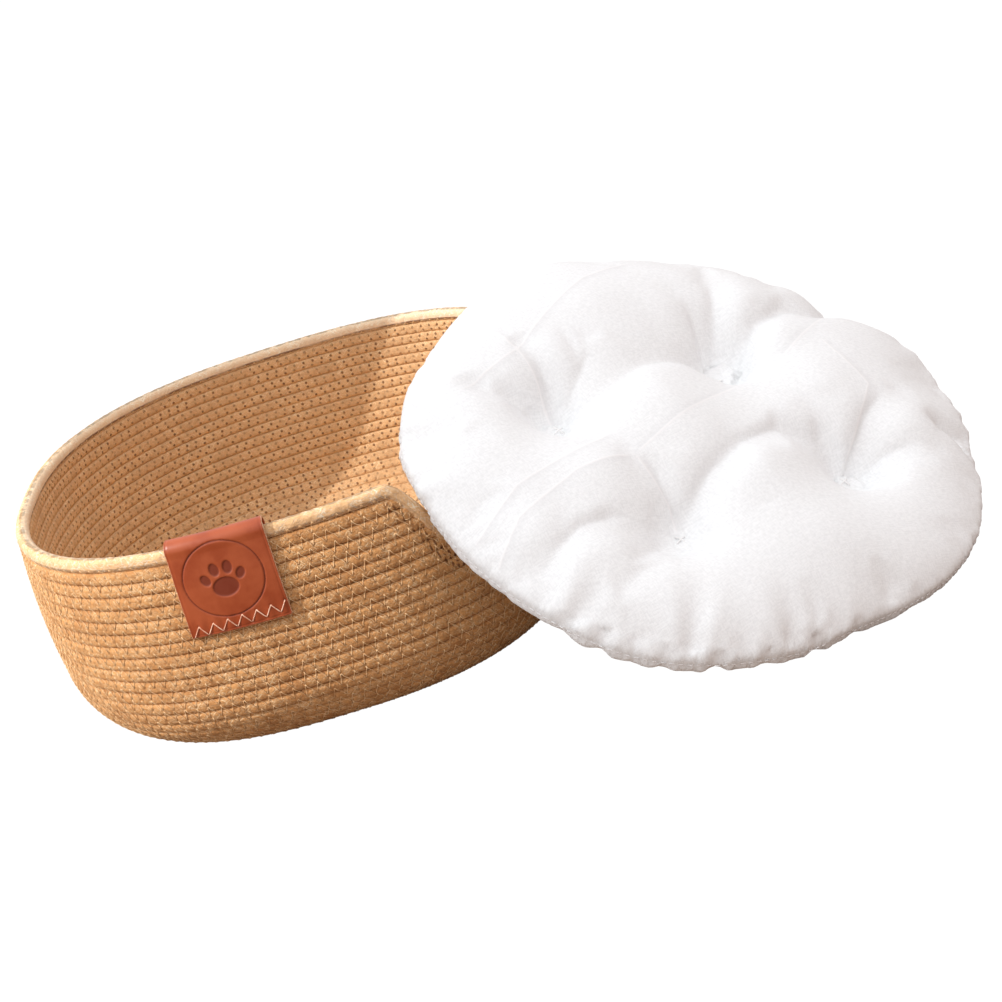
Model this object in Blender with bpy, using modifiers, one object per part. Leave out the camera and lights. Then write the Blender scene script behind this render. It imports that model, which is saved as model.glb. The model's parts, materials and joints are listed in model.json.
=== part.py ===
# Coiled rope pet bed: a round basket sewn up from courses of rope, with a lowered entry in its
# rim, a leather tab folded over the rim, and a loose tufted cushion that leans on the entry.
# Metres, +Z up. The origin is the middle of the base, on the floor. The entry faces +X and
# the tab is at the front, towards -Y.
import bpy
import bmesh
import math
from mathutils import Matrix, Vector

# ---- driving dimensions -------------------------------------------------------------------
BASKET_HEIGHT = 0.1575            # floor to the top of the rim
RIM_RADIUS = 0.2                  # plan radius of the rim's centre line along Y
PLAN_SQUASH = 0.9314              # plan radius along X over the one along Y
PLAN_POWER = 2.486                # 2 is an ellipse, higher is squarer
BASE_RADIUS = 0.1948              # plan radius the wall would reach at the floor
WALL_BULGE = 0.0075               # how far the wall swells at half height
CORNER_RADIUS = 0.0566            # rounding between the floor and the wall
ROPE_RADIUS = 0.0041
RIM_ROPE_RADIUS = 0.0048
GAP = 0.0003                      # between neighbouring pieces
PITCH = 2 * ROPE_RADIUS + GAP     # from one course to the next, up the wall
BASE_PITCH = 0.00902              # looser on the base, where an oval course is crossed at a slant
PLAN_CORNERS = 24                 # corners in the plan polygon of every course
ROPE_SIDES = 6
CENTRE_COIL = 0.045               # long radius of the coil at the middle of the base
CENTRE_TURNS = 3
COIL_LAST_ARC = 45                # degrees of the last end turn, where the coil's rope ends

WALL_COURSES = 10                 # courses on the upright wall, the top ones broken by the entry
CORNER_COURSES = 10               # courses around the rounded base corner
ENTRY_COURSES = 6                 # top courses that stop at the entry
ENTRY_START = math.radians(-72)   # plan angle where the rim starts down into the entry
ENTRY_END = math.radians(17)      # plan angle where it is back at full height
ENTRY_SLOPE = math.radians(11)    # plan angle each slope takes

TAB_ANGLE = math.radians(-101.25)  # plan angle of the tab's middle
TAB_SPREAD = math.radians(17.5)   # plan angle across the tab's width
TAB_DROP = 0.058                  # how far the tab hangs below the rim's top, outside
TAB_DROP_INSIDE = 0.030
TAB_THICKNESS = 0.0018
STITCH_RADIUS = 0.0005
STITCH_TEETH = 7
STITCH_HEIGHT = 0.008
STITCH_SPAN = 0.9                 # share of the tab's width
STITCH_MARGIN = 0.004             # from the tab's lower edge to the stitching

CUSHION_RADIUS = 0.19
CUSHION_HALF = 0.033              # half the cushion's thickness at its crown
CUSHION_CENTRE = Vector((0.2637, -0.1342, 0.1061))
CUSHION_TILT = math.radians(30.6)
CUSHION_DOWNHILL = math.radians(-49.7)
CUSHION_SPIN = math.radians(72.8)
CUSHION_SEGMENTS = 32
CUSHION_POWER = 2.6               # 2 is an ellipsoid, higher is boxier at the edge
PANEL_THICKNESS = 0.0015
PANEL_FILL_GAP = 0.0025
SEAM_GAP = 0.003                  # between the panels' hems
SEAM_THREAD_RADIUS = 0.0006
TUFT_MIDDLE = (-0.008, -0.020)    # middle of the four tufts, in the cushion's frame
TUFT_LENGTH = 0.129               # between tufts, along the frame's first axis
TUFT_WIDTH = 0.115                # between tufts, along its second axis
TUFT_LEAN = 0.008                 # how far each pair leans from square
TUFT_DEPTH_TOP = 0.016
TUFT_DEPTH_BOTTOM = 0.004
TUFT_SPREAD = 0.042               # radius over which a tuft pulls the panel in
TIE_RADIUS = 0.001
TIE_KNOT_RADIUS = 0.0028
TIE_HOLE_RADIUS = 0.0016
KNOT_LIFT = 0.0035                # the knots sit clear of the faceted panels


# ---- plan and profile of the basket -------------------------------------------------------
def plan_offset(angle):
    """How far the plan outline lies outside a circle at an angle, the same for every course."""
    across = abs(math.cos(angle)) / PLAN_SQUASH
    along = abs(math.sin(angle))
    factor = (across ** PLAN_POWER + along ** PLAN_POWER) ** (-1 / PLAN_POWER)
    return RIM_RADIUS * (factor - 1)


def fold_radius(radius, angle):
    """Plan radius of a turn wrapped round a short straight fold of rope that lies along Y."""
    fold = RIM_RADIUS * (1 - PLAN_SQUASH)
    wrap = radius - fold
    across, along = abs(math.cos(angle)), abs(math.sin(angle))
    if wrap * along <= fold * across:
        return wrap / across
    return fold * along + math.sqrt(wrap * wrap - (fold * across) ** 2)


def plan_radius(radius, angle):
    """Plan radius of a course at an angle. The squareness fades out towards the middle."""
    fade = min(1.0, radius / (BASE_RADIUS - CORNER_RADIUS))
    square = radius + plan_offset(angle)
    if fade == 1.0:
        return square
    return fold_radius(radius, angle) + fade * (square - fold_radius(radius, angle))


def plan_point(radius, angle):
    """A point on the plan polygon of a course: its corners sit at even steps of angle."""
    step = 2 * math.pi / PLAN_CORNERS
    index = math.floor(angle / step + 1e-9)
    share = angle / step - index
    corners = []
    for corner_angle in (index * step, (index + 1) * step):
        reach = plan_radius(radius, corner_angle)
        corners.append(Vector((reach * math.cos(corner_angle), reach * math.sin(corner_angle))))
    return corners[0].lerp(corners[1], max(0.0, share))


def wall_radius(height):
    """Radius of the wall's centre line at a height above the rounded corner."""
    share = height / BASKET_HEIGHT
    return BASE_RADIUS + (RIM_RADIUS - BASE_RADIUS) * share + WALL_BULGE * 4 * share * (1 - share)


def wall_profile():
    """(radius, height) points of the ropes' centre line, from the rim's top down to the middle."""
    floor = ROPE_RADIUS * math.cos(math.pi / ROPE_SIDES)
    top = BASKET_HEIGHT - RIM_ROPE_RADIUS
    points = []
    steps = 200
    for i in range(steps):
        height = top + (CORNER_RADIUS - top) * i / steps
        points.append((wall_radius(height), height))
    turn = wall_radius(CORNER_RADIUS)
    for i in range(steps):
        angle = math.pi / 2 * i / steps
        radius = turn - CORNER_RADIUS * (1 - math.cos(angle))
        height = CORNER_RADIUS - (CORNER_RADIUS - floor) * math.sin(angle)
        points.append((radius, height))
    points.append((turn - CORNER_RADIUS, floor))
    points.append((0.0, floor))
    return points


def walk(profile, start, distance):
    """The place (index, share) down the profile that lies a straight distance from a start."""
    origin = Vector(profile[start[0]]).lerp(Vector(profile[start[0] + 1]), start[1])
    for index in range(start[0], len(profile) - 1):
        first, last = Vector(profile[index]), Vector(profile[index + 1])
        if (last - origin).length < distance:
            continue
        low, high = 0.0, 1.0
        if index == start[0]:
            low = start[1]
        for _ in range(40):
            middle = (low + high) / 2
            if (first.lerp(last, middle) - origin).length < distance:
                low = middle
            else:
                high = middle
        return index, low
    return None


def course_places():
    """(radius, height) of every course from the one under the rim to the middle of the base."""
    profile = wall_profile()
    place = walk(profile, (0, 0.0), RIM_ROPE_RADIUS + GAP + ROPE_RADIUS)
    places = []
    while place:
        spot = Vector(profile[place[0]]).lerp(Vector(profile[place[0] + 1]), place[1])
        if spot[0] < CENTRE_COIL:
            break
        places.append((spot[0], spot[1]))
        on_base = spot[0] < BASE_RADIUS - CORNER_RADIUS / 2
        place = walk(profile, place, BASE_PITCH if on_base else PITCH)
    return places


def smooth(share):
    share = min(1.0, max(0.0, share))
    return share * share * (3 - 2 * share)


def rim_height(angle, low, high):
    """Height of the rim rope's centre at a plan angle between -pi and pi."""
    down = (angle - ENTRY_START) / ENTRY_SLOPE
    up = (ENTRY_END - angle) / ENTRY_SLOPE
    return high + (low - high) * min(smooth(down), smooth(up))


# ---- building helpers ---------------------------------------------------------------------
def clear_scene():
    for item in list(bpy.data.objects):
        bpy.data.objects.remove(item, do_unlink=True)


def make_collection(name):
    collection = bpy.data.collections.new(name)
    bpy.context.scene.collection.children.link(collection)
    return collection


def make_material(name, colour, roughness, metallic=0.0):
    material = bpy.data.materials.new(name)
    material.use_nodes = True
    shader = material.node_tree.nodes["Principled BSDF"]
    shader.inputs["Base Color"].default_value = (*colour, 1.0)
    shader.inputs["Roughness"].default_value = roughness
    shader.inputs["Metallic"].default_value = metallic
    return material


def make_tube(name, points, radius, closed, sides=ROPE_SIDES, material=None, turn=0.0):
    """A rope or thread: a poly spline with a round bevel and filled ends."""
    curve = bpy.data.curves.new(name, "CURVE")
    curve.dimensions = "3D"
    curve.twist_mode = "Z_UP"
    curve.bevel_depth = radius
    curve.bevel_resolution = sides // 2 - 2
    curve.use_fill_caps = not closed
    spline = curve.splines.new("POLY")
    spline.points.add(len(points) - 1)
    for point, place in zip(spline.points, points):
        point.co = (*place, 1.0)
        point.tilt = turn
    spline.use_cyclic_u = closed
    obj = bpy.data.objects.new(name, curve)
    parts.objects.link(obj)
    if material:
        curve.materials.append(material)
    return obj


def finish_mesh(name, mesh, material, parent=None):
    mesh.shade_smooth()
    mesh.set_sharp_from_angle(angle=math.radians(40))
    mesh.materials.append(material)
    obj = bpy.data.objects.new(name, mesh)
    parts.objects.link(obj)
    obj.parent = parent
    return obj


# ---- the basket ---------------------------------------------------------------------------
def ring_points(radius, height):
    step = 2 * math.pi / PLAN_CORNERS
    return [(*plan_point(radius, i * step), height) for i in range(PLAN_CORNERS)]


def rim_points(low, high):
    """The rim's centre line, with extra points on the two slopes."""
    step = 2 * math.pi / PLAN_CORNERS
    angles = {round(-math.pi + i * step, 6) for i in range(PLAN_CORNERS)}
    for start in (ENTRY_START, ENTRY_END - ENTRY_SLOPE):
        angles |= {round(start + ENTRY_SLOPE * i / 6, 6) for i in range(7)}
    points = []
    for angle in sorted(angles):
        height = rim_height(angle, low, high)
        points.append((*plan_point(wall_radius(height), angle), height))
    return points


def arc_points(radius, height, rim):
    """A broken course: it runs round the back and stops clear of the rim at both slopes."""
    reach = RIM_ROPE_RADIUS + ROPE_RADIUS + GAP
    step = 2 * math.pi / PLAN_CORNERS

    def clear(angle):
        place = Vector((*plan_point(radius, angle), height))
        return min(distance_to_segment(place, a, b) for a, b in zip(rim, rim[1:])) > reach

    fine = math.radians(0.25)
    first = ENTRY_END + ENTRY_SLOPE
    while clear(first - fine) and first > ENTRY_END - ENTRY_SLOPE:
        first -= fine
    last = ENTRY_START - ENTRY_SLOPE
    while clear(last + fine) and last < ENTRY_START + ENTRY_SLOPE:
        last += fine
    last += 2 * math.pi
    angles = [first]
    index = math.floor(first / step) + 1
    while index * step < last - math.radians(1):
        if index * step > first + math.radians(1):
            angles.append(index * step)
        index += 1
    angles.append(last)
    return [(*plan_point(radius, angle), height) for angle in angles]


def distance_to_segment(point, start, end):
    start, end = Vector(start), Vector(end)
    along = end - start
    share = max(0.0, min(1.0, (point - start).dot(along) / along.length_squared))
    return (point - start - share * along).length


def coil_arc(centre, radius, start, end):
    """Points of an end turn, as plan places, from one angle to another in degrees."""
    count = 6
    points = []
    for i in range(count + 1):
        angle = math.radians(start + (end - start) * i / count)
        points.append((centre[0] + radius * math.cos(angle), centre[1] + radius * math.sin(angle)))
    return points


def build_centre_coil(material):
    """The coil the base starts from: a straight fold along Y with the rope wound round it."""
    fold = RIM_RADIUS * (1 - PLAN_SQUASH)
    places = [(0.0, -fold)]
    for turn in range(CENTRE_TURNS + 1):
        upper = (-BASE_PITCH / 2, fold)
        reach = BASE_PITCH * (turn + 0.5)
        if turn == CENTRE_TURNS:
            places += coil_arc(upper, reach, 0, COIL_LAST_ARC)
            break
        places += coil_arc(upper, reach, 0, 180)
        places += coil_arc((0.0, -fold), BASE_PITCH * (turn + 1), 180, 360)
    floor = ROPE_RADIUS * math.cos(math.pi / ROPE_SIDES)
    points = [(x, y, floor) for x, y in places]
    make_tube("base_centre_coil", points, ROPE_RADIUS, False, material=material)


def build_basket():
    rope = make_material("rope", (0.58, 0.37, 0.20), 0.85)
    rim_rope = make_material("rim_rope", (0.68, 0.46, 0.27), 0.8)
    places = course_places()
    high = BASKET_HEIGHT - RIM_ROPE_RADIUS
    under_entry = places[ENTRY_COURSES][1]
    low = under_entry + ROPE_RADIUS + GAP + RIM_ROPE_RADIUS
    rim = rim_points(low, high)
    make_tube("rim_rope", rim, RIM_ROPE_RADIUS, True, material=rim_rope)
    closed_rim = rim + rim[:1]
    count = len(places)
    for index, (radius, height) in enumerate(places):
        number = count - index
        if index < ENTRY_COURSES:
            name = "wall_course_%02d" % (WALL_COURSES - index)
            points, closed = arc_points(radius, height, closed_rim), False
        else:
            points, closed = ring_points(radius, height), True
            if index < WALL_COURSES:
                name = "wall_course_%02d" % (WALL_COURSES - index)
            elif index < WALL_COURSES + CORNER_COURSES:
                name = "corner_course_%02d" % (WALL_COURSES + CORNER_COURSES - index)
            else:
                name = "base_course_%02d" % number
        make_tube(name, points, ROPE_RADIUS, closed, material=rope)
    build_centre_coil(rope)


# ---- the tab ------------------------------------------------------------------------------
def tab_section(distance):
    """Place on the folded strip, as (outwards from the rope line, height), by distance along it."""
    offset = RIM_ROPE_RADIUS + GAP + TAB_THICKNESS / 2
    rim_centre = BASKET_HEIGHT - RIM_ROPE_RADIUS
    outside = TAB_DROP - RIM_ROPE_RADIUS
    fold = math.pi * offset
    if distance < outside:
        return offset, rim_centre - outside + distance
    if distance < outside + fold:
        angle = (distance - outside) / offset
        return offset * math.cos(angle), rim_centre + offset * math.sin(angle)
    return -offset, rim_centre - (distance - outside - fold)


def tab_length():
    offset = RIM_ROPE_RADIUS + GAP + TAB_THICKNESS / 2
    return TAB_DROP - RIM_ROPE_RADIUS + math.pi * offset + TAB_DROP_INSIDE


def tab_point(across, distance, lift=0.0):
    """A point on the strip: across its width (-0.5 to 0.5), along its length, lifted off it."""
    outwards, height = tab_section(distance)
    radius = wall_radius(min(height, BASKET_HEIGHT - RIM_ROPE_RADIUS))
    line = plan_point(radius, TAB_ANGLE + across * TAB_SPREAD)
    place = line + line.normalized() * (outwards + lift)
    return Vector((*place, height))


def build_tab():
    leather = make_material("tab_leather", (0.40, 0.13, 0.045), 0.5)
    thread = make_material("tab_thread", (0.85, 0.62, 0.50), 0.7)
    columns, rows = 7, 24
    grid = bmesh.new()
    bmesh.ops.create_grid(grid, x_segments=columns, y_segments=rows, size=0.5)
    fold_start = TAB_DROP - RIM_ROPE_RADIUS
    fold_end = tab_length() - TAB_DROP_INSIDE
    stations = [fold_start * i / 8 for i in range(8)]
    stations += [fold_start + (fold_end - fold_start) * i / 10 for i in range(11)]
    stations += [fold_end + TAB_DROP_INSIDE * (i + 1) / 6 for i in range(6)]
    for vertex in grid.verts:
        row = round((vertex.co.y + 0.5) * rows)
        vertex.co = tab_point(vertex.co.x, stations[row])
    mesh = bpy.data.meshes.new("tab_leather")
    grid.to_mesh(mesh)
    grid.free()
    tab = finish_mesh("tab_leather", mesh, leather)
    shell = tab.modifiers.new("thickness", "SOLIDIFY")
    shell.thickness = TAB_THICKNESS
    shell.offset = 0.0

    lift = TAB_THICKNESS / 2 + GAP + STITCH_RADIUS
    points = []
    for i in range(2 * STITCH_TEETH + 1):
        across = STITCH_SPAN * (i / (2 * STITCH_TEETH) - 0.5)
        points.append(tab_point(across, STITCH_MARGIN + STITCH_HEIGHT * (i % 2), lift))
    make_tube("tab_stitching", points, STITCH_RADIUS, False, sides=4, material=thread)


# ---- the cushion --------------------------------------------------------------------------
def tuft_places():
    """The four tufts, a slightly leaning rectangle a little off the cushion's middle."""
    places = []
    for along, across in ((-1, 1), (1, 1), (1, -1), (-1, -1)):
        x = TUFT_MIDDLE[0] + along * TUFT_LENGTH / 2 - across * TUFT_LEAN
        places.append((x, TUFT_MIDDLE[1] + across * TUFT_WIDTH / 2))
    return places


def cushion_surface(direction, inset):
    """A point of the cushion's skin, from a direction on the unit sphere, in its own frame."""
    flat = math.hypot(direction.x, direction.y)
    reach = (CUSHION_RADIUS - inset) * flat ** (2 / CUSHION_POWER)
    rise = (CUSHION_HALF - inset) * abs(direction.z) ** (2 / CUSHION_POWER)
    x, y = 0.0, 0.0
    if flat > 1e-6:
        x, y = reach * direction.x / flat, reach * direction.y / flat
    depth = TUFT_DEPTH_TOP if direction.z > 0 else TUFT_DEPTH_BOTTOM
    share = rise / CUSHION_HALF
    for tuft_x, tuft_y in tuft_places():
        away = math.hypot(x - tuft_x, y - tuft_y) / TUFT_SPREAD
        rise -= depth * share * math.exp(-away * away)
    return Vector((x, y, math.copysign(rise, direction.z)))


def cushion_skin(inset, keep):
    """A mesh of the cushion's skin. keep is 0 for all of it, 1 for the top, -1 for the bottom."""
    mesh = bmesh.new()
    rows = CUSHION_SEGMENTS // 2
    bmesh.ops.create_uvsphere(mesh, u_segments=CUSHION_SEGMENTS, v_segments=rows, radius=1.0)
    if keep:
        unwanted = [v for v in mesh.verts if v.co.z * keep < -1e-4]
        bmesh.ops.delete(mesh, geom=unwanted, context="VERTS")
    for vertex in mesh.verts:
        place = cushion_surface(vertex.co.copy(), inset)
        if keep:
            hem = max(0.0, 1 - abs(place.z) / CUSHION_HALF)
            place.z += keep * hem * SEAM_GAP / 2
        vertex.co = place
    return mesh


def mesh_from(skin, name):
    mesh = bpy.data.meshes.new(name)
    skin.to_mesh(mesh)
    skin.free()
    return mesh


def add_tie_holes(obj, cutters):
    for cutter in cutters:
        cut = obj.modifiers.new(cutter.name, "BOOLEAN")
        cut.operation = "DIFFERENCE"
        cut.object = cutter


def build_tie_cutters(collection, parent):
    cutters = []
    for index, (x, y) in enumerate(tuft_places()):
        depth = 4 * CUSHION_HALF
        bpy.ops.mesh.primitive_cylinder_add(vertices=8, radius=TIE_HOLE_RADIUS, depth=depth)
        cutter = bpy.context.object
        cutter.name = "tie_cutter_%d" % (index + 1)
        for owner in list(cutter.users_collection):
            owner.objects.unlink(cutter)
        collection.objects.link(cutter)
        cutter.parent = parent
        cutter.location = (x, y, 0)
        cutter.hide_render = True
        cutter.display_type = "WIRE"
        cutters.append(cutter)
    return cutters


def tuft_level(x, y, sign):
    """Height of the skin at a tuft, in the cushion's frame."""
    flat = (math.hypot(x, y) / CUSHION_RADIUS) ** (CUSHION_POWER / 2)
    direction = Vector((x, y, 0)).normalized() * flat
    direction.z = sign * math.sqrt(1 - flat * flat)
    return cushion_surface(direction, 0.0).z


def build_tie(index, x, y, parent, material):
    """A tuft's thread with a knot at each end, turned from its outer profile."""
    top = tuft_level(x, y, 1) + KNOT_LIFT
    bottom = tuft_level(x, y, -1) - KNOT_LIFT
    knot = TIE_KNOT_RADIUS
    profile = [(0, top + knot), (knot * 0.7, top + knot * 0.8), (knot, top + knot * 0.4),
               (knot * 0.8, top), (TIE_RADIUS, top), (TIE_RADIUS, bottom), (knot * 0.8, bottom),
               (knot, bottom - knot * 0.4), (knot * 0.7, bottom - knot * 0.8), (0, bottom - knot)]
    mesh = bpy.data.meshes.new("tuft_tie_%d" % index)
    edges = [(i, i + 1) for i in range(len(profile) - 1)]
    mesh.from_pydata([(r, 0, z) for r, z in profile], edges, [])
    mesh.materials.append(material)
    tie = bpy.data.objects.new("tuft_tie_%d" % index, mesh)
    parts.objects.link(tie)
    tie.parent = parent
    tie.location = (x, y, 0)
    turn = tie.modifiers.new("turn", "SCREW")
    turn.steps = 8
    turn.render_steps = 8
    turn.use_merge_vertices = True
    turn.merge_threshold = 0.00005


def build_cushion(cutter_collection):
    cotton = make_material("cotton_cloth", (0.86, 0.84, 0.83), 0.9)
    wadding = make_material("wadding", (0.90, 0.90, 0.90), 1.0)
    thread = make_material("cushion_thread", (0.88, 0.87, 0.86), 0.8)
    downhill = Vector((math.cos(CUSHION_DOWNHILL), math.sin(CUSHION_DOWNHILL), 0))
    normal = downhill * math.sin(CUSHION_TILT) + Vector((0, 0, math.cos(CUSHION_TILT)))
    slope = downhill * math.cos(CUSHION_TILT) - Vector((0, 0, math.sin(CUSHION_TILT)))
    side = normal.cross(slope)
    first = slope * math.cos(CUSHION_SPIN) + side * math.sin(CUSHION_SPIN)
    second = normal.cross(first)
    turn = Matrix((first, second, normal)).transposed().to_4x4()
    pose = bpy.data.objects.new("cushion_pose", None)
    parts.objects.link(pose)
    pose.matrix_world = Matrix.Translation(CUSHION_CENTRE) @ turn
    cutters = build_tie_cutters(cutter_collection, pose)

    for name, keep in (("cushion_top_panel", 1), ("cushion_bottom_panel", -1)):
        panel = finish_mesh(name, mesh_from(cushion_skin(0.0, keep), name), cotton, pose)
        shell = panel.modifiers.new("thickness", "SOLIDIFY")
        shell.thickness = PANEL_THICKNESS
        shell.offset = -1.0
        add_tie_holes(panel, cutters)
    inset = PANEL_THICKNESS + PANEL_FILL_GAP
    filling_mesh = mesh_from(cushion_skin(inset, 0), "cushion_filling")
    filling = finish_mesh("cushion_filling", filling_mesh, wadding, pose)
    add_tie_holes(filling, cutters)

    seam_radius = CUSHION_RADIUS + SEAM_THREAD_RADIUS + GAP
    seam = []
    for i in range(CUSHION_SEGMENTS):
        angle = 2 * math.pi * i / CUSHION_SEGMENTS
        seam.append((seam_radius * math.cos(angle), seam_radius * math.sin(angle), 0))
    ring = make_tube("cushion_seam_thread", seam, SEAM_THREAD_RADIUS, True, sides=4, material=thread)
    ring.parent = pose
    for index, (x, y) in enumerate(tuft_places()):
        build_tie(index + 1, x, y, pose, thread)


clear_scene()
parts = make_collection("rope_pet_bed")
cutting = make_collection("cutters")
build_basket()
build_tab()
build_cushion(cutting)
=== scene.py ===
# The finished look of the coiled rope pet bed: every rope course with its twist and needle holes,
# the zigzag thread that sews the courses together, the pressed leather tab and the tufted cushion.
import json
import math
import bpy
import numpy as np
from mathutils import Matrix, Vector
from mathutils.geometry import delaunay_2d_cdt

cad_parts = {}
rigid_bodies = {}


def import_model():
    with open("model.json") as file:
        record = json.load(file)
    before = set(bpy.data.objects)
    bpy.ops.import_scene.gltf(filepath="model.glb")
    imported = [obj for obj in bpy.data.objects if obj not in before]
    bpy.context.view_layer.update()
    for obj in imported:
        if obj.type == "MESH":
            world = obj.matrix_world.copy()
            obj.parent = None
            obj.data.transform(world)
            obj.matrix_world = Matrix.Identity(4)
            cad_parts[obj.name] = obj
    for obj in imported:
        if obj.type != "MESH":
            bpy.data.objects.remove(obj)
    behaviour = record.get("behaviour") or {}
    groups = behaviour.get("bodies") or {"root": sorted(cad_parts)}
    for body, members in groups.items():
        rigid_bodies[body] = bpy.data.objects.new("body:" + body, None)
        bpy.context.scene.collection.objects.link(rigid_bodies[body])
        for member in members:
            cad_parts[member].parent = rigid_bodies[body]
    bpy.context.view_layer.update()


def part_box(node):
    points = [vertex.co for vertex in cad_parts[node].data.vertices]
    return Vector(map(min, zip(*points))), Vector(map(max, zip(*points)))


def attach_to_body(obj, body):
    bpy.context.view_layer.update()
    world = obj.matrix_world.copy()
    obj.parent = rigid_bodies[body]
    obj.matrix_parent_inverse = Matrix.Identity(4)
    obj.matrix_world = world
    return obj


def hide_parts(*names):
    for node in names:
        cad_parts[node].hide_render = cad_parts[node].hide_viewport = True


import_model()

# ---- sizes that the frame's boxes don't hold, in metres and radians ------------------------
TURN = 2 * math.pi
ROPE_RADIUS = 0.0041
RIM_ROPE_RADIUS = 0.0048
RIM_RADIUS = 0.2
PLAN_SQUASH = 0.9314
PLAN_POWER = 2.486
BASE_EDGE = 0.1382                 # plan radius where the base turns up into the corner
BASE_PITCH = 0.00902
ENTRY_START = math.radians(-72)
ENTRY_END = math.radians(17)
ENTRY_SLOPE = math.radians(11)
ENTRY_MIDDLE = (ENTRY_START + ENTRY_END) / 2
TAB_ANGLE = math.radians(-101.25)
TAB_SPREAD = math.radians(17.5)
TAB_DROP_INSIDE = 0.030
TAB_THICKNESS = 0.0018

STEP = 0.0012                      # spacing of the rings along a rope
ROPE_SIDES = 18
OUTER_POWER = 3.8                  # 2 is a round rope, higher is one pressed square
INNER_POWER = 5.0
RIM_POWER = 2.25
HALF_ROW = 0.00436                 # half a course along the wall, so that rows touch
HALF_DEEP = 0.0041                 # half a course through the wall
LAY = 0.021                        # length in which a strand goes once round the rope
STRANDS = 3
TOOTH = 0.0076                     # from one needle hole to the next, along a seam
HOLE_TURN = 0.42                   # how far round from the crest a needle hole is
HOLE_EDGE = (0.0013, 0.0006)       # a needle hole's colour fades in between these distances
PHASE_ABOVE = 0.78                 # where the holes of the seams above and below a course fall
PHASE_BELOW = 0.5                  # in the share of a tooth
PIT_SPACING = 0.0042               # between the larger holes under the rim's slopes
PIT_ROWS = (0.0018, 0.0060)        # how far below the rim rope the two rows of them lie
INNER_PAINTED_LIGHT = 0.36                  # painted light: the rope's inner side is brightened toward the pale straw
THREAD = 0.00024                   # radius of the sewing thread
RIM_SIDES = 24
RIM_LAY = 0.026
RIM_STITCHES = 166
YARN_SPACING = 0.0011              # of the cotton's weave
CREASE_WIDTH = 0.0008
NUDGE = 1e-4                       # the small angle that a line's direction is measured over


# ---- plan of the basket -------------------------------------------------------------------
def plan_offset(angle):
    """How far the plan outline lies outside a circle, at an array of angles."""
    across = np.abs(np.cos(angle)) / PLAN_SQUASH
    factor = (across ** PLAN_POWER + np.abs(np.sin(angle)) ** PLAN_POWER) ** (-1 / PLAN_POWER)
    return RIM_RADIUS * (factor - 1)


def fold_radius(radius, angle):
    """Plan radius of a turn wrapped round the short straight fold at the base's middle."""
    fold = RIM_RADIUS * (1 - PLAN_SQUASH)
    wrap = radius - fold
    across, along = np.abs(np.cos(angle)), np.abs(np.sin(angle))
    beside = wrap * along <= fold * across
    straight = wrap / np.maximum(across, 1e-6)
    round_end = fold * along + np.sqrt(np.maximum(wrap * wrap - (fold * across) ** 2, 0))
    return np.where(beside, straight, round_end)


def plan_radius(radius, angle):
    """Plan radius at an array of angles of the course that has this radius along Y."""
    fade = np.minimum(1.0, np.asarray(radius) / BASE_EDGE)
    square = radius + plan_offset(angle)
    inner = fold_radius(radius, angle)
    return np.where(fade >= 1, square, inner + fade * (square - inner))


def polar(radius, angle, height):
    """Points from a plan radius, a plan angle and a height, as arrays or plain numbers."""
    return np.stack(np.broadcast_arrays(radius * np.cos(angle), radius * np.sin(angle), height), -1)


def half_turn(angle):
    """The same angle between minus half a turn and half a turn."""
    return (angle + math.pi) % TURN - math.pi


def smooth(share):
    share = np.clip(share, 0, 1)
    return share * share * (3 - 2 * share)


# ---- the courses, read from the frame -----------------------------------------------------
NAMES = ["wall_course_%02d" % i for i in range(10, 0, -1)]
NAMES += ["corner_course_%02d" % i for i in range(10, 0, -1)]
NAMES += ["base_course_%02d" % i for i in range(12, 0, -1)]
OPEN_COURSES = 6                   # the top ones, broken by the entry


def course_place(name):
    """(plan radius along Y, height) of a course's centre line."""
    low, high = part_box(name)
    return high.y - ROPE_RADIUS, (low.z + high.z) / 2


PLACES = [course_place(name) for name in NAMES]
RIM_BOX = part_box("rim_rope")
HIGH_RIM = RIM_BOX[1].z - RIM_ROPE_RADIUS
LOW_RIM = PLACES[OPEN_COURSES][1] + ROPE_RADIUS + RIM_ROPE_RADIUS + 0.0003


def rim_height(angle):
    """Height of the rim rope's centre line at an array of plan angles."""
    angle = half_turn(angle - ENTRY_MIDDLE) + ENTRY_MIDDLE
    down = smooth((angle - ENTRY_START) / ENTRY_SLOPE)
    up = smooth((ENTRY_END - angle) / ENTRY_SLOPE)
    return HIGH_RIM + (LOW_RIM - HIGH_RIM) * np.minimum(down, up)


WALL_Z = np.array([z for r, z in PLACES[:12]][::-1])
WALL_R = np.array([r for r, z in PLACES[:12]][::-1])
TOP_SLOPE = (WALL_R[-1] - WALL_R[-3]) / (WALL_Z[-1] - WALL_Z[-3])


def wall_radius(height):
    """Plan radius along Y of the wall's centre line at an array of heights."""
    inside = np.interp(height, WALL_Z, WALL_R)
    return inside + np.maximum(height - WALL_Z[-1], 0) * TOP_SLOPE


def rim_line(angle):
    """The rim rope's centre line at an array of plan angles."""
    height = rim_height(angle)
    return polar(plan_radius(wall_radius(height), angle), angle, height)


# ---- mesh helpers -------------------------------------------------------------------------
def new_mesh_object(name, points, faces, material):
    mesh = bpy.data.meshes.new(name)
    mesh.from_pydata(np.asarray(points, float).tolist(), [], np.asarray(faces).tolist()
                     if isinstance(faces, np.ndarray) else faces)
    mesh.validate()
    mesh.materials.append(material)
    mesh.shade_smooth()
    obj = bpy.data.objects.new(name, mesh)
    bpy.context.scene.collection.objects.link(obj)
    return obj


def unit(vectors):
    return vectors / np.maximum(np.linalg.norm(vectors, axis=-1, keepdims=True), 1e-12)


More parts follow.
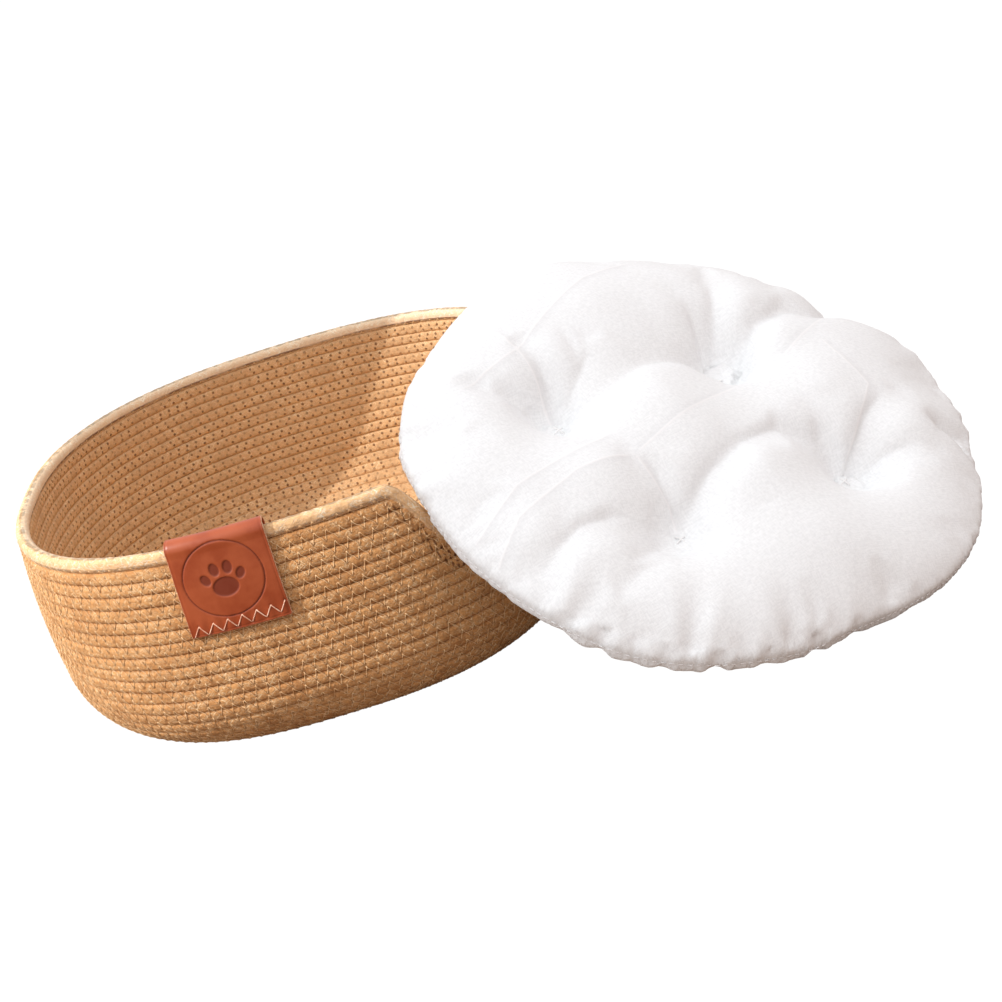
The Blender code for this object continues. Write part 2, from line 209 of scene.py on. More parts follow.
def square_to(ahead, way):
    """Unit (up, out) vectors square to a line, from its direction and the way up the wall."""
    up = unit(way - ahead * np.sum(way * ahead, -1, keepdims=True))
    return up, np.cross(ahead, up)


def run_along(line):
    """How far along a line each of its points is."""
    return np.concatenate([[0], np.cumsum(np.linalg.norm(np.diff(line, axis=0), axis=1))])


def grid_faces(rows, columns, closed):
    """Faces of a tube of rings, each with a number of sides, joined end to end when closed."""
    last = rows if closed else rows - 1
    i, j = np.meshgrid(np.arange(last), np.arange(columns), indexing="ij")
    i2, j2 = (i + 1) % rows, (j + 1) % columns
    quads = np.stack([i * columns + j, i2 * columns + j, i2 * columns + j2, i * columns + j2], -1)
    return quads.reshape(-1, 4), i.ravel(), j.ravel()


def add_uv(mesh, name, u, v):
    """A UV map from values for every face corner."""
    layer = mesh.uv_layers.new(name=name)
    layer.data.foreach_set("uv", np.stack([u, v], -1).astype(np.float32).ravel())


def thread_mesh(name, paths, radius, material, sides=5):
    """Many short threads in one mesh. paths holds an array of points for each."""
    points, faces, start = [], [], 0
    turns = np.arange(sides) * TURN / sides
    by_length = {}
    for path in paths:
        by_length.setdefault(len(path), []).append(path)
    for length, group in by_length.items():
        line = np.array(group)
        ahead = unit(np.gradient(line, axis=1))
        side = unit(np.cross(ahead, np.array([0.12, 0.07, 1.0])))
        other = np.cross(ahead, side)
        ring = (side[:, :, None, :] * np.cos(turns)[:, None] +
                other[:, :, None, :] * np.sin(turns)[:, None])
        body = line[:, :, None, :] + ring * radius
        quads = grid_faces(length, sides, False)[0]
        count = length * sides
        offsets = start + np.arange(len(group)) * count
        points.append(body.reshape(-1, 3))
        faces += (quads[None] + offsets[:, None, None]).reshape(-1, 4).tolist()
        first = (offsets[:, None] + np.arange(sides)[None]).tolist()
        last = (offsets[:, None] + (length - 1) * sides + np.arange(sides)[::-1][None]).tolist()
        faces += first + last
        start += len(group) * count
    return new_mesh_object(name, np.concatenate(points), faces, material)


def tube_points(centre, up, out, high, wide):
    """Rings of points round a line, from how far up and out each one lies."""
    return centre[:, None] + up[:, None] * high[..., None] + out[:, None] * wide[..., None]


def rope_tube(name, points, closed, material):
    """A rope from its rings of points: (object, ring and side of every face corner)."""
    count, sides = points.shape[:2]
    faces, i, j = grid_faces(count, sides, closed)
    ring = np.stack([i, i + 1, i + 1, i], -1).ravel()
    side = np.stack([j, j, j + 1, j + 1], -1).ravel()
    if not closed:
        cap = np.arange(sides)
        faces = faces.tolist() + [cap.tolist(), ((count - 1) * sides + cap[::-1]).tolist()]
        ring = np.concatenate([ring, np.zeros(sides, int), np.full(sides, count - 1)])
        side = np.concatenate([side, cap, cap[::-1]])
    return new_mesh_object(name, points.reshape(-1, 3), faces, material), ring, side


def mark_rope(obj, along, share_round, above, below, pits=None):
    """The maps that a rope's material reads. Without pits, every corner is far from one."""
    add_uv(obj.data, "rope", along, share_round)
    add_uv(obj.data, "teeth", above, below)
    add_uv(obj.data, "slope", *(pits or (np.zeros(len(along)), np.ones(len(along)))))


def attach(obj, body, slot, *replaced):
    """A piece rides on a body and, where nodes are named, stands for them."""
    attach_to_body(obj, body)
    if replaced:
        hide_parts(*replaced)


# ---- material helpers ---------------------------------------------------------------------
class Value:
    """A node's output. + - and * between values make the math nodes."""

    def __init__(self, nodes, socket):
        self.nodes, self.socket = nodes, socket

    def __add__(self, other):
        return self.nodes.maths("ADD", self, other)

    def __sub__(self, other):
        return self.nodes.maths("SUBTRACT", self, other)

    def __mul__(self, other):
        return self.nodes.maths("MULTIPLY", self, other)


class Nodes:
    """A node tree, built one node at a time."""

    def __init__(self, tree):
        self.tree = tree

    def put(self, target, value):
        if isinstance(value, Value):
            self.tree.links.new(value.socket, target)
        elif isinstance(value, tuple) and target.type == "RGBA":
            target.default_value = (*value, 1.0)
        else:
            target.default_value = value

    def node(self, kind, settings=None, **inputs):
        made = self.tree.nodes.new("ShaderNode" + kind)
        for key, value in (settings or {}).items():
            setattr(made, key, value)
        for key, value in inputs.items():
            self.put(made.inputs[key], value)
        return made

    def value(self, kind, output, settings=None, **inputs):
        return Value(self, self.node(kind, settings, **inputs).outputs[output])

    def filled(self, made, places, values, output=0):
        """The output of a node once these inputs have these values."""
        for key, value in zip(places, values):
            self.put(made.inputs[key], value)
        return Value(self, made.outputs[output])

    def maths(self, operation, a, b=0.0):
        return self.filled(self.node("Math", {"operation": operation}), (0, 1), (a, b))

    def step(self, value, low, high, out_low=0.0, out_high=1.0):
        """A smooth step of value from low to high."""
        return self.filled(self.node("MapRange", {"interpolation_type": "SMOOTHSTEP"}),
                           ("Value", "From Min", "From Max", "To Min", "To Max"),
                           (value, low, high, out_low, out_high), "Result")

    def mix(self, share, a, b, blend="MIX"):
        return self.filled(self.node("Mix", {"data_type": "RGBA", "blend_type": blend}),
                           (0, 6, 7), (share, a, b), 2)

    def noise(self, vector, scale, detail=2.0, roughness=0.5):
        return self.value("TexNoise", "Fac", Vector=vector, Scale=scale, Detail=detail,
                          Roughness=roughness)

    def vector(self, x, y, z=0.0):
        return self.filled(self.node("CombineXYZ"), (0, 1, 2), (x, y, z))

    def parts(self, vector):
        made = self.node("SeparateXYZ", Vector=vector)
        return [Value(self, socket) for socket in made.outputs]

    def bump(self, height, strength, distance, normal=None):
        made = self.node("Bump", Strength=strength, Distance=distance, Height=height)
        if normal is not None:
            self.put(made.inputs["Normal"], normal)
        return Value(self, made.outputs[0])


class Look(Nodes):
    """A material with a Principled surface."""

    def __init__(self, name, roughness):
        self.material = bpy.data.materials.new(name)
        self.material.use_nodes = True
        super().__init__(self.material.node_tree)
        self.shader = self.tree.nodes["Principled BSDF"]
        self.set("Roughness", roughness)

    def set(self, name, value):
        self.put(self.shader.inputs[name], value)

    def place(self):
        return self.value("TexCoord", "Object")

    def uv(self, name):
        return self.parts(self.value("UVMap", 0, {"uv_map": name}))[:2]


def hole_spot(look, along, around):
    """1 in a needle hole and 0 off it, from two distances to its middle."""
    away = look.maths("SQRT", along * along + around * around)
    return look.step(away, *HOLE_EDGE)


def hole_mask(look, tooth_share, turn_share, centre, phase):
    """1 at a row of needle holes. turn_share is where on the section, 0 to 1."""
    along = (look.maths("FRACT", tooth_share + phase) - 0.5) * TOOTH
    return hole_spot(look, along, (turn_share - centre) * (TURN * ROPE_RADIUS))


def fibre_layer(look, along, around, lean, seed):
    """Thin pale straws lying at a slant: 1 on a straw, 0 between them."""
    c, n = math.cos(lean), math.sin(lean)
    run = along * c + around * n + seed
    over = around * c - along * n
    return look.noise(look.vector(run * 210, over * 1300, seed), 1.0, 1.5, 0.6)


def rope_look(name, dark, middle, light, straw):
    """Crinkled paper rope. straw is how strongly pale flakes show."""
    look = Look(name, 0.78)
    along, turn = look.uv("rope")
    around = turn * (TURN * ROPE_RADIUS)
    place = look.place()
    blotch = look.noise(place, 60, 4, 0.62)
    broad = look.noise(place, 9, 2, 0.5)
    grit = look.noise(place, 620, 3, 0.65)
    falling = fibre_layer(look, along, around, 0.75, 0.0)
    rising = fibre_layer(look, along, around, -0.62, 3.7)
    level = fibre_layer(look, along, around, 0.12, 8.1)

    colour = look.mix(look.step(grit * 0.55 + blotch * 0.45, 0.36, 0.60), dark, middle)
    straws = look.maths("MAXIMUM", look.step(falling, 0.55, 0.66), look.step(rising, 0.57, 0.68))
    straws = look.maths("MAXIMUM", straws, look.step(level, 0.58, 0.70))
    pale = straws * look.step(blotch, 0.34, 0.62, 0.30 * straw, straw)
    colour = look.mix(pale, colour, light)
    colour = look.mix(look.step(broad, 0.35, 0.7, 0.0, 0.25), colour, middle)

    # Painted light: the rope's inner side is mixed toward the pale straw to stand in for a brighter
    # interior.
    colour = look.mix(look.step(turn, 0.47, 0.56, 0.0, INNER_PAINTED_LIGHT), colour, light)
    # Painted shade: the rope is darkened where it faces the courses above and below, in broken patches.
    groove = look.maths("ABSOLUTE", look.maths("COSINE", turn * TURN))
    wear_and_shade_patches = look.step(look.noise(place, 170, 3, 0.6), 0.40, 0.58)
    deep = look.step(groove, 0.86, 1.0) * (wear_and_shade_patches + 0.25)
    shade = look.step(deep, 0.0, 1.0, 1.0, 0.55)
    colour = look.mix(1.0, colour, look.vector(shade, shade, shade), "MULTIPLY")

    pits, depth = look.uv("slope")
    holes = hole_spot(look, (look.maths("FRACT", pits) - 0.5) * PIT_SPACING, depth)
    above, below = look.uv("teeth")
    for teeth, sign, phase in ((above, 1, PHASE_ABOVE), (below, -1, PHASE_BELOW)):
        for centre, weight in ((0.25, 0.5), (0.75, 1.0)):
            flip = sign if centre < 0.5 else -sign
            spot = hole_mask(look, teeth, turn, centre - flip * HOLE_TURN / TURN, phase)
            holes = look.maths("MAXIMUM", holes, spot * weight)
    # Painted shade: the needle holes and the pits under the slopes are darkened toward a deep brown.
    holes = holes * look.step(blotch, 0.38, 0.56, 0.45, 1.0)
    look.set("Base Color", look.mix(holes * 0.80, colour, (0.16, 0.055, 0.020)))

    height = straws * 0.5 + grit * 1.2 - holes * 1.2
    look.set("Normal", look.bump(height, 0.9, 0.0006))
    look.set("Roughness", look.step(straws, 0.0, 1.0, 0.85, 0.62))
    look.set("Specular IOR Level", 0.3)
    return look.material


def thread_look(name, dark, light, roughness=0.6):
    look = Look(name, roughness)
    place = look.place()
    ply = look.noise(place, 1400, 2)
    tone = look.noise(place, 120, 2)
    look.set("Base Color", look.mix(look.step(ply * 0.5 + tone * 0.5, 0.35, 0.6), dark, light))
    look.set("Normal", look.bump(ply, 0.6, 0.0001))
    return look.material


def leather_look(name, base, deep, wear_and_shade_patches):
    look = Look(name, 0.42)
    place = look.place()
    press = look.uv("press")[1]
    grain = look.value("TexVoronoi", "Distance", {"feature": "F1"}, Vector=place, Scale=1500)
    cloud = look.noise(place, 55, 4, 0.6)
    fine = look.noise(place, 900, 2)
    colour = look.mix(look.step(cloud, 0.3, 0.7), base, wear_and_shade_patches)
    look.set("Base Color", look.mix(look.step(press, 0.1, 0.9, 0.0, 0.75), colour, deep))
    look.set("Roughness", look.step(cloud, 0.3, 0.7, 0.30, 0.42))
    look.set("Normal", look.bump(grain * 0.6 + fine * 0.4, 0.35, 0.00012))
    look.set("Specular IOR Level", 0.42)
    return look.material


def edge_look(name, dark, light):
    look = Look(name, 0.75)
    nap = look.noise(look.place(), 1500, 3)
    look.set("Base Color", look.mix(look.step(nap, 0.35, 0.65), dark, light))
    look.set("Normal", look.bump(nap, 0.5, 0.0002))
    return look.material


def cotton_look(name):
    """Plain woven cotton: the weave follows the panel's own flat pattern."""
    look = Look(name, 0.92)
    u, v = look.uv("weave")
    slub = look.noise(look.vector(u * 260, v * 1100), 1.0, 2)
    cross_slub = look.noise(look.vector(u * 1100, v * 260), 1.0, 2)
    count = TURN / YARN_SPACING
    weave = look.maths("SINE", u * count) * look.maths("SINE", v * count)
    weave = weave * 0.35 + (slub + cross_slub)
    crumple = look.noise(look.place(), 60, 4, 0.55)
    away, strength = look.uv("crease")
    # Painted highlight along each ironed crease, and painted shade in a band to one side of it.
    line = look.maths("EXPONENT", away * (away * (-1.0 / CREASE_WIDTH ** 2))) * strength
    crease_shade = look.step(away, 0.0, 0.0006) * look.step(away, 0.0075, 0.0006) * strength
    colour = look.mix(look.step(slub * 0.5 + cross_slub * 0.5, 0.35, 0.65),
                      (0.85, 0.865, 0.875), (0.95, 0.965, 0.975))
    colour = look.mix(crease_shade * 0.30, colour, (0.74, 0.74, 0.75))
    look.set("Base Color", look.mix(line * 0.80, colour, (0.96, 0.96, 0.965)))
    fine = look.bump(weave, 0.45, 0.00030)
    soft = look.bump(crumple, 0.12, 0.0014, fine)
    look.set("Normal", look.bump(line, 0.30, 0.0004, soft))
    look.set("Sheen Weight", 0.25)
    look.set("Sheen Roughness", 0.5)
    look.set("Specular IOR Level", 0.15)
    return look.material


ROPE = rope_look("rope", (0.41, 0.178, 0.058), (0.67, 0.345, 0.132), (0.94, 0.71, 0.43), 0.82)
# The rim rope's colours are paler than the wall rope's: a painted highlight for its lit top.
RIM_ROPE = rope_look("rim_rope", (0.66, 0.38, 0.18), (0.82, 0.53, 0.28), (0.98, 0.88, 0.70), 1.0)
ROW_THREAD = thread_look("row_thread", (0.66, 0.38, 0.16), (0.90, 0.64, 0.36))
TAB_THREAD = thread_look("tab_thread", (0.66, 0.32, 0.20), (0.92, 0.62, 0.46))
WHITE_THREAD = thread_look("cushion_thread", (0.84, 0.84, 0.84), (0.95, 0.95, 0.95))
LEATHER = leather_look("tab_leather", (0.30, 0.053, 0.015), (0.13, 0.018, 0.008), (0.38, 0.080, 0.024))
LEATHER_EDGE = edge_look("tab_edge", (0.42, 0.18, 0.08), (0.80, 0.52, 0.34))
COTTON = cotton_look("cotton_cloth")


# ---- ropes --------------------------------------------------------------------------------
def course_axes(index):
    """Unit (radius, height) direction up the wall at a course."""
    above = PLACES[index - 1] if index else PLACES[0]
    below = PLACES[index + 1] if index + 1 < len(PLACES) else PLACES[-1]
    way = np.array([above[0] - below[0], above[1] - below[1]])
    return way / np.linalg.norm(way)


def section(turn, half_up, half_out):
    """(up, out) of a point on a pressed-square rope section, at an array of turns."""
    c, s = np.cos(turn), np.sin(turn)
    power = np.where(s > 0, OUTER_POWER, INNER_POWER)
    reach = (np.abs(c) ** power + np.abs(s) ** power) ** (-1 / power)
    return c * reach * half_up, s * reach * half_out


class Course:
    """The centre line of one course and the points of its skin."""

    def __init__(self, index):
        self.index = index
        self.radius, self.height = PLACES[index]
        self.way = course_axes(index)
        self.closed = index >= OPEN_COURSES
        self.first, self.last = 0.0, TURN
        if not self.closed:
            scan = ENTRY_MIDDLE + np.linspace(0, TURN, 7201)
            free = rim_height(scan) - RIM_ROPE_RADIUS * 0.9 > self.height - HALF_ROW
            self.first, self.last = scan[free][0], scan[free][-1]

    def centre(self, angle):
        return polar(plan_radius(self.radius, angle), angle, self.height)

    def frame(self, angle):
        """(centre, up, out) at an array of angles."""
        ahead = unit(self.centre(angle + NUDGE) - self.centre(angle - NUDGE))
        return self.centre(angle), *square_to(ahead, polar(self.way[0], angle, self.way[1]))

    def skin(self, angle, turn, lift=0.0):
        """Points on the skin. A turn of 0 faces the course above, pi/2 faces outwards."""
        centre, up, out = self.frame(angle)
        high, wide = section(turn, HALF_ROW, HALF_DEEP)
        length = np.hypot(high, wide)
        high, wide = high * (1 + lift / length), wide * (1 + lift / length)
        return centre + up * high[..., None] + out * wide[..., None]


COURSES = [Course(i) for i in range(len(NAMES))]
rng = np.random.default_rng(7)
# One seam above every course: its number of teeth round the basket and where they start.
SEAM_TEETH = []
for radius, _ in PLACES + [(0.045, 0)]:
    SEAM_TEETH.append((max(8, round(TURN * radius * 0.985 / TOOTH)), rng.random()))


def teeth_at(seam, angle):
    count, start = SEAM_TEETH[seam]
    return angle / TURN * count + start


def wobble(length, arc, amount):
    """Slow seeded unevenness along a closed rope."""
    total = np.zeros_like(arc)
    for wave in (5, 9, 16, 27, 43):
        total += math.sqrt(5 / wave) * np.sin(TURN * (wave * arc / length + rng.random()))
    return total * amount / 2


def strand_relief(arc, turn, lay):
    """Depth of the grooves between strands, 0 on a strand's crest and 1 in a groove."""
    phase = STRANDS * (arc / lay * TURN + turn) / 2
    return 1 - np.sqrt(np.abs(np.sin(phase)))


def dents(tooth_share, phase, turn, centre):
    """1 at the middle of each needle hole in a row, fading over about a millimetre."""
    along = ((tooth_share + phase) % 1 - 0.5) * TOOTH
    around = (turn - centre) * ROPE_RADIUS
    return np.exp(-(along ** 2 + around ** 2) / 0.0011 ** 2)


def slope_mark(angle, points):
    """(pit count, distance from the row of pits) for points under the rim's two slopes."""
    steep = np.abs(rim_height(angle + 0.01) - rim_height(angle - 0.01)) / 0.02
    below = (rim_height(angle) - points[..., 2]) / np.sqrt(1 + (steep / RIM_RADIUS) ** 2)
    away, second = [below - (RIM_ROPE_RADIUS + row) for row in PIT_ROWS]
    away = np.where(np.abs(second) < np.abs(away), second, away)
    away = np.where(steep > 0.02, away, 1.0)
    return (half_turn(angle - ENTRY_MIDDLE) + ENTRY_MIDDLE) * RIM_RADIUS * 1.35 / PIT_SPACING, away


def build_course(course):
    around = TURN * course.radius
    span = course.last - course.first
    count = int(around * span / TURN / STEP)
    angle = course.first + span * (np.arange(count) / (count if course.closed else count - 1))
    centre, up, out = course.frame(angle)
    arc = run_along(centre)
    length = arc[-1] + (np.linalg.norm(centre[0] - centre[-1]) if course.closed else 0)
    lay = length / round(length / LAY) if course.closed else LAY
    turn = np.broadcast_to(np.arange(ROPE_SIDES) * TURN / ROPE_SIDES, (count, ROPE_SIDES))
    big_angle, big_arc = angle[:, None], arc[:, None]

    relief = strand_relief(big_arc, turn, lay) * np.where(turn > math.pi, 0.00050, 0.00020)
    above, below = teeth_at(course.index, big_angle), teeth_at(course.index + 1, big_angle)
    depth = np.zeros((count, ROPE_SIDES))
    for middle, sign in ((math.pi / 2, 1), (3 * math.pi / 2, -1)):
        depth += dents(above, PHASE_ABOVE, turn, middle - sign * HOLE_TURN)
        depth += dents(below, PHASE_BELOW, turn, middle + sign * HOLE_TURN)
    swell = wobble(length, big_arc, 0.00012) + rng.normal(0, 0.00006, (count, ROPE_SIDES))
    high, wide = section(turn, HALF_ROW, HALF_DEEP)
    scale = 1 + (swell - relief - depth * 0.00055) / np.hypot(high, wide)
    high = np.where(np.abs(np.cos(turn)) > 0.8, high, high * scale)
    points = tube_points(centre, up, out, high, wide * scale)
    points += up[:, None] * wobble(length, arc, 0.00022)[:, None, None]
    points[..., 2] = np.maximum(points[..., 2], 0.0)
    if not course.closed:
        roof = rim_height(big_angle) - RIM_ROPE_RADIUS * 0.35
        points[..., 2] = np.minimum(points[..., 2], roof)

    obj, ring, side = rope_tube("rope_" + NAMES[course.index], points, course.closed, ROPE)
    at = np.append(angle, course.last if course.closed else angle[-1])[ring]
    pits = None
    if course.index <= OPEN_COURSES:
        pits = slope_mark(at, points[ring % count, side % ROPE_SIDES])
    mark_rope(obj, np.append(arc, length)[ring] + rng.random() * 3, side / ROPE_SIDES,
              teeth_at(course.index, at), teeth_at(course.index + 1, at), pits)
    attach(obj, "basket", "rope", NAMES[course.index])


def build_rim():
    count = int(TURN * RIM_RADIUS / 0.001)
    angle = np.arange(count) * TURN / count
    centre = rim_line(angle)
    ahead = unit(np.roll(centre, -1, 0) - np.roll(centre, 1, 0))
    up, out = square_to(ahead, polar(TOP_SLOPE, angle, 1.0))
    arc = run_along(centre)
    length = arc[-1] + np.linalg.norm(centre[0] - centre[-1])
    turn = np.broadcast_to(np.arange(RIM_SIDES) * TURN / RIM_SIDES, (count, RIM_SIDES))
    lay = length / round(length / RIM_LAY)
    relief = strand_relief(arc[:, None], turn, lay) * 0.00038
    swell = wobble(length, arc[:, None], 0.00016) + rng.normal(0, 0.00005, (count, RIM_SIDES))
    pressed = (np.abs(np.cos(turn)) ** RIM_POWER + np.abs(np.sin(turn)) ** RIM_POWER) ** (-1 / RIM_POWER)
    reach = (RIM_ROPE_RADIUS - 0.00015) * pressed + swell - relief
    points = tube_points(centre, up, out, np.cos(turn) * reach, np.sin(turn) * reach)
    obj, ring, side = rope_tube("rim_rope_twisted", points, True, RIM_ROPE)
    none = np.zeros(len(ring))
    mark_rope(obj, np.append(arc, length)[ring], side / RIM_SIDES, none, none)
    attach(obj, "basket", "rim_rope", "rim_rope")


def coil_arc(centre, radius, start, end, count=28):
    """Points on an arc, from start to end in degrees. The radius may change along it."""
    angle = np.radians(np.linspace(start, end, count + 1))
    return np.stack([centre[0] + radius * np.cos(angle), centre[1] + radius * np.sin(angle)], -1)


COIL_SPREAD = 1.03                 # the coil is pressed out against the first closed course
COIL_THINNING = 0.86               # how much thinner the rope is at its buried end
TAIL_POINTS = 28


def build_centre_coil():
    """The coil the base starts from: a straight strand with the rope wound round it."""
    fold = RIM_RADIUS * (1 - PLAN_SQUASH)
    upper, lower = (-BASE_PITCH / 2, fold), (0.0, -fold)
    places = [np.linspace(lower, (0.0, fold), 20)[:-1]]
    for turn in range(3):
        places.append(coil_arc(upper, BASE_PITCH * (turn + 0.5), 0, 180))
        places.append(coil_arc(lower, BASE_PITCH * (turn + 1), 180, 360))
    places.append(coil_arc(upper, BASE_PITCH * 3.5, 0, 45, 10))
    # The rope's end is buried: it thins out in the gap left before the first closed course.
    tail = np.linspace(0, 1, TAIL_POINTS + 1)
    reach = BASE_PITCH * (3.5 - COIL_THINNING / 2 * smooth(tail))
    places.append(coil_arc(upper, reach, 45, 185, TAIL_POINTS)[1:])
    rough = np.concatenate(places) * COIL_SPREAD
    hop = np.linalg.norm(np.diff(rough, axis=0), axis=1)
    tail_share = hop[-TAIL_POINTS:].sum() / hop.sum()
    rough = rough[np.append(True, hop > 1e-6)]
    arc = run_along(rough)
    count = int(arc[-1] / STEP)
    even = np.linspace(0, arc[-1], count)
    low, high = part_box("base_centre_coil")
    centre = np.column_stack([np.interp(even, arc, rough[:, 0]), np.interp(even, arc, rough[:, 1]),
                              np.full(count, (low.z + high.z) / 2)])
    out = np.tile([0.0, 0.0, -1.0], (count, 1))
    up = np.cross(out, unit(np.gradient(centre, axis=0)))
    turn = np.broadcast_to(np.arange(ROPE_SIDES) * TURN / ROPE_SIDES, (count, ROPE_SIDES))
    across, deep = section(turn, BASE_PITCH / 2, HALF_DEEP * 0.86)
    thin = smooth((even / even[-1] - 1 + tail_share) / tail_share)[:, None]
    across = across * (1 - COIL_THINNING * thin)
    deep = deep * (1 - 0.35 * thin)
    deep = deep * (1 - strand_relief(even[:, None], turn, LAY) * 0.0003 / HALF_DEEP)
    points = tube_points(centre, up, out, across, deep)
    points[..., 2] = np.maximum(points[..., 2], 0.0)
    obj, ring, side = rope_tube("rope_base_centre", points, False, ROPE)
    teeth = even[ring] / TOOTH
    mark_rope(obj, even[ring], side / ROPE_SIDES, teeth, teeth + 0.35)
    attach(obj, "basket", "rope", "base_centre_coil")


# ---- the zigzag seams between courses -------------------------------------------------------
def seam_paths(seam):
    """All the stitches of one seam as (plan angle above, plan angle below, how proud it lies)."""
    upper, lower = COURSES[seam - 1], COURSES[seam]
    count, start = SEAM_TEETH[seam]
    width = TURN / count
    paths = []
    for tooth in range(-count, 2 * count):
        first = (tooth - start) * width
        begin = max(upper.first, lower.first) if not upper.closed else 0.0
        finish = min(upper.last, lower.last) if not upper.closed else TURN
        if first < begin - 1e-9 or first + width > finish + (0 if not upper.closed else width):
            continue
        if upper.closed and first >= TURN:
            continue
        slip = rng.uniform(-0.08, 0.08, 2) * width
        paths.append((first, first + 0.72 * width + slip[0], 1.0))
        paths.append((first + width + slip[1], first + 0.72 * width + slip[0], -0.2))
    return upper, lower, paths


def build_seams():
    """The needle thread outside: long stitches falling to the right, short ones sunk between."""
    groups = {"wall": [], "corner": []}
    for seam in range(1, 20):
        upper, lower, spans = seam_paths(seam)
        starts, ends, proud = np.array(spans).T
        climb = np.linspace(0.06, HOLE_TURN + 0.35, 3)
        columns = []
        for share, turn in zip((0.0, 0.16, 0.36), climb):
            lift = np.full_like(proud, -THREAD) if share == 0 else THREAD * 0.7 * proud
            place = starts + (ends - starts) * share
            columns.append(upper.skin(place, np.full_like(place, math.pi / 2 + turn), lift))
        for share, turn in zip((0.64, 0.84, 1.0), climb[::-1]):
            lift = np.full_like(proud, -THREAD) if share == 1.0 else THREAD * 0.7 * proud
            place = starts + (ends - starts) * share
            columns.append(lower.skin(place, np.full_like(place, math.pi / 2 - turn), lift))
        groups["wall" if seam < 10 else "corner"] += list(np.stack(columns, 1))
    for part, paths in groups.items():
        attach(thread_mesh("seam_thread_" + part, paths, THREAD, ROW_THREAD), "basket", "rope")


def rim_skin(angle, turn, lift):
    """Points on the rim rope. A turn of 0 is its top, pi/2 faces outwards, pi is its underside."""
    ahead = unit(rim_line(angle + NUDGE) - rim_line(angle - NUDGE))
    up, out = square_to(ahead, polar(TOP_SLOPE, angle, 1.0))
    reach = RIM_ROPE_RADIUS + lift
    return rim_line(angle) + up * (np.cos(turn) * reach)[..., None] + out * (np.sin(turn) * reach)[..., None]


def build_rim_seam():
    """Stitches from the rim rope's flank down into whatever lies under it."""
    width = TURN / RIM_STITCHES
    first = np.tile(np.arange(RIM_STITCHES) * width, 2)
    end = first + np.where(np.arange(2 * RIM_STITCHES) < RIM_STITCHES, 0.72, -0.28) * width
    for side, label in ((1, "outside"), (-1, "inside")):
        columns = []
        for share, turn in ((0.0, 0.62), (0.2, 0.72), (0.45, 0.84)):
            place = first + (end - first) * share
            lift = -THREAD if share == 0 else THREAD * 0.7
            columns.append(rim_skin(place, np.full_like(place, side * turn * math.pi), lift))
        for share, drop in ((0.8, 0.0024), (1.0, 0.0036)):
            place = first + (end - first) * share
            below = rim_skin(place, np.full_like(place, math.pi), drop)
            outwards = unit(rim_skin(place, np.full_like(place, side * math.pi / 2), 0.0)
                            - rim_skin(place, np.full_like(place, -side * math.pi / 2), 0.0))
            lift = HALF_DEEP + (THREAD * 0.5 if share < 1 else -THREAD)
            columns.append(below + outwards * lift)
        obj = thread_mesh("rim_seam_thread_" + label, np.stack(columns, 1), THREAD, ROW_THREAD)
        attach(obj, "basket", "rim_rope")


# ---- the tab ------------------------------------------------------------------------------
TAB_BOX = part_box("tab_leather")
TAB_FOLD = RIM_ROPE_RADIUS + 0.0003 + TAB_THICKNESS / 2
TAB_RISE = 0.0034                  # the leather's loop stands up off the rim
TAB_OUTSIDE = HIGH_RIM + TAB_RISE - TAB_BOX[0].z  # from the loop's middle to the lower edge
TAB_LENGTH = TAB_OUTSIDE + math.pi * TAB_FOLD + TAB_DROP_INSIDE


def tab_surface(across, distance, lift):
    """Points off the strip's middle surface: across is -0.5 to 0.5, distance from its lower edge."""
    fold = math.pi * TAB_FOLD
    bend = np.clip((distance - TAB_OUTSIDE) / fold, 0, 1) * math.pi
    inside = np.maximum(distance - TAB_OUTSIDE - fold, 0)
    outside = np.maximum(TAB_OUTSIDE - distance, 0)
    offset = (TAB_FOLD + lift) * np.cos(bend)
    height = HIGH_RIM + TAB_RISE + (TAB_FOLD + lift) * np.sin(bend) - inside - outside
    angle = TAB_ANGLE + across * TAB_SPREAD
    radius = plan_radius(wall_radius(np.minimum(height, HIGH_RIM)), angle)
    centre = np.stack([radius * np.cos(angle), radius * np.sin(angle)], -1)
    ahead = plan_radius(wall_radius(np.minimum(height, HIGH_RIM)), angle + 1e-4)
    nearby = np.stack([ahead * np.cos(angle + 1e-4), ahead * np.sin(angle + 1e-4)], -1)
    way = unit(nearby - centre)
    normal = np.stack([way[..., 1], -way[..., 0]], -1)
    plan = centre + normal * offset[..., None]
    return np.concatenate([plan, height[..., None]], -1)


TAB_WIDTH = TAB_SPREAD * (RIM_RADIUS + float(plan_offset(np.array([TAB_ANGLE]))[0]))
SEAL_CENTRE = (-0.0012, TAB_OUTSIDE - 0.0222)
SEAL_RADIUS = 0.0242
TAB_TEETH = 7                      # of its zigzag
TAB_THREAD_RADIUS = 0.00034


def blob(x, y, cx, cy, rx, ry, lean=0.0):
    """Roughly the distance outside an ellipse, negative within it."""
    c, s = math.cos(lean), math.sin(lean)
    px, py = x - cx, y - cy
    px, py = px * c + py * s, -px * s + py * c
    return (np.sqrt((px / rx) ** 2 + (py / ry) ** 2) - 1) * min(rx, ry)


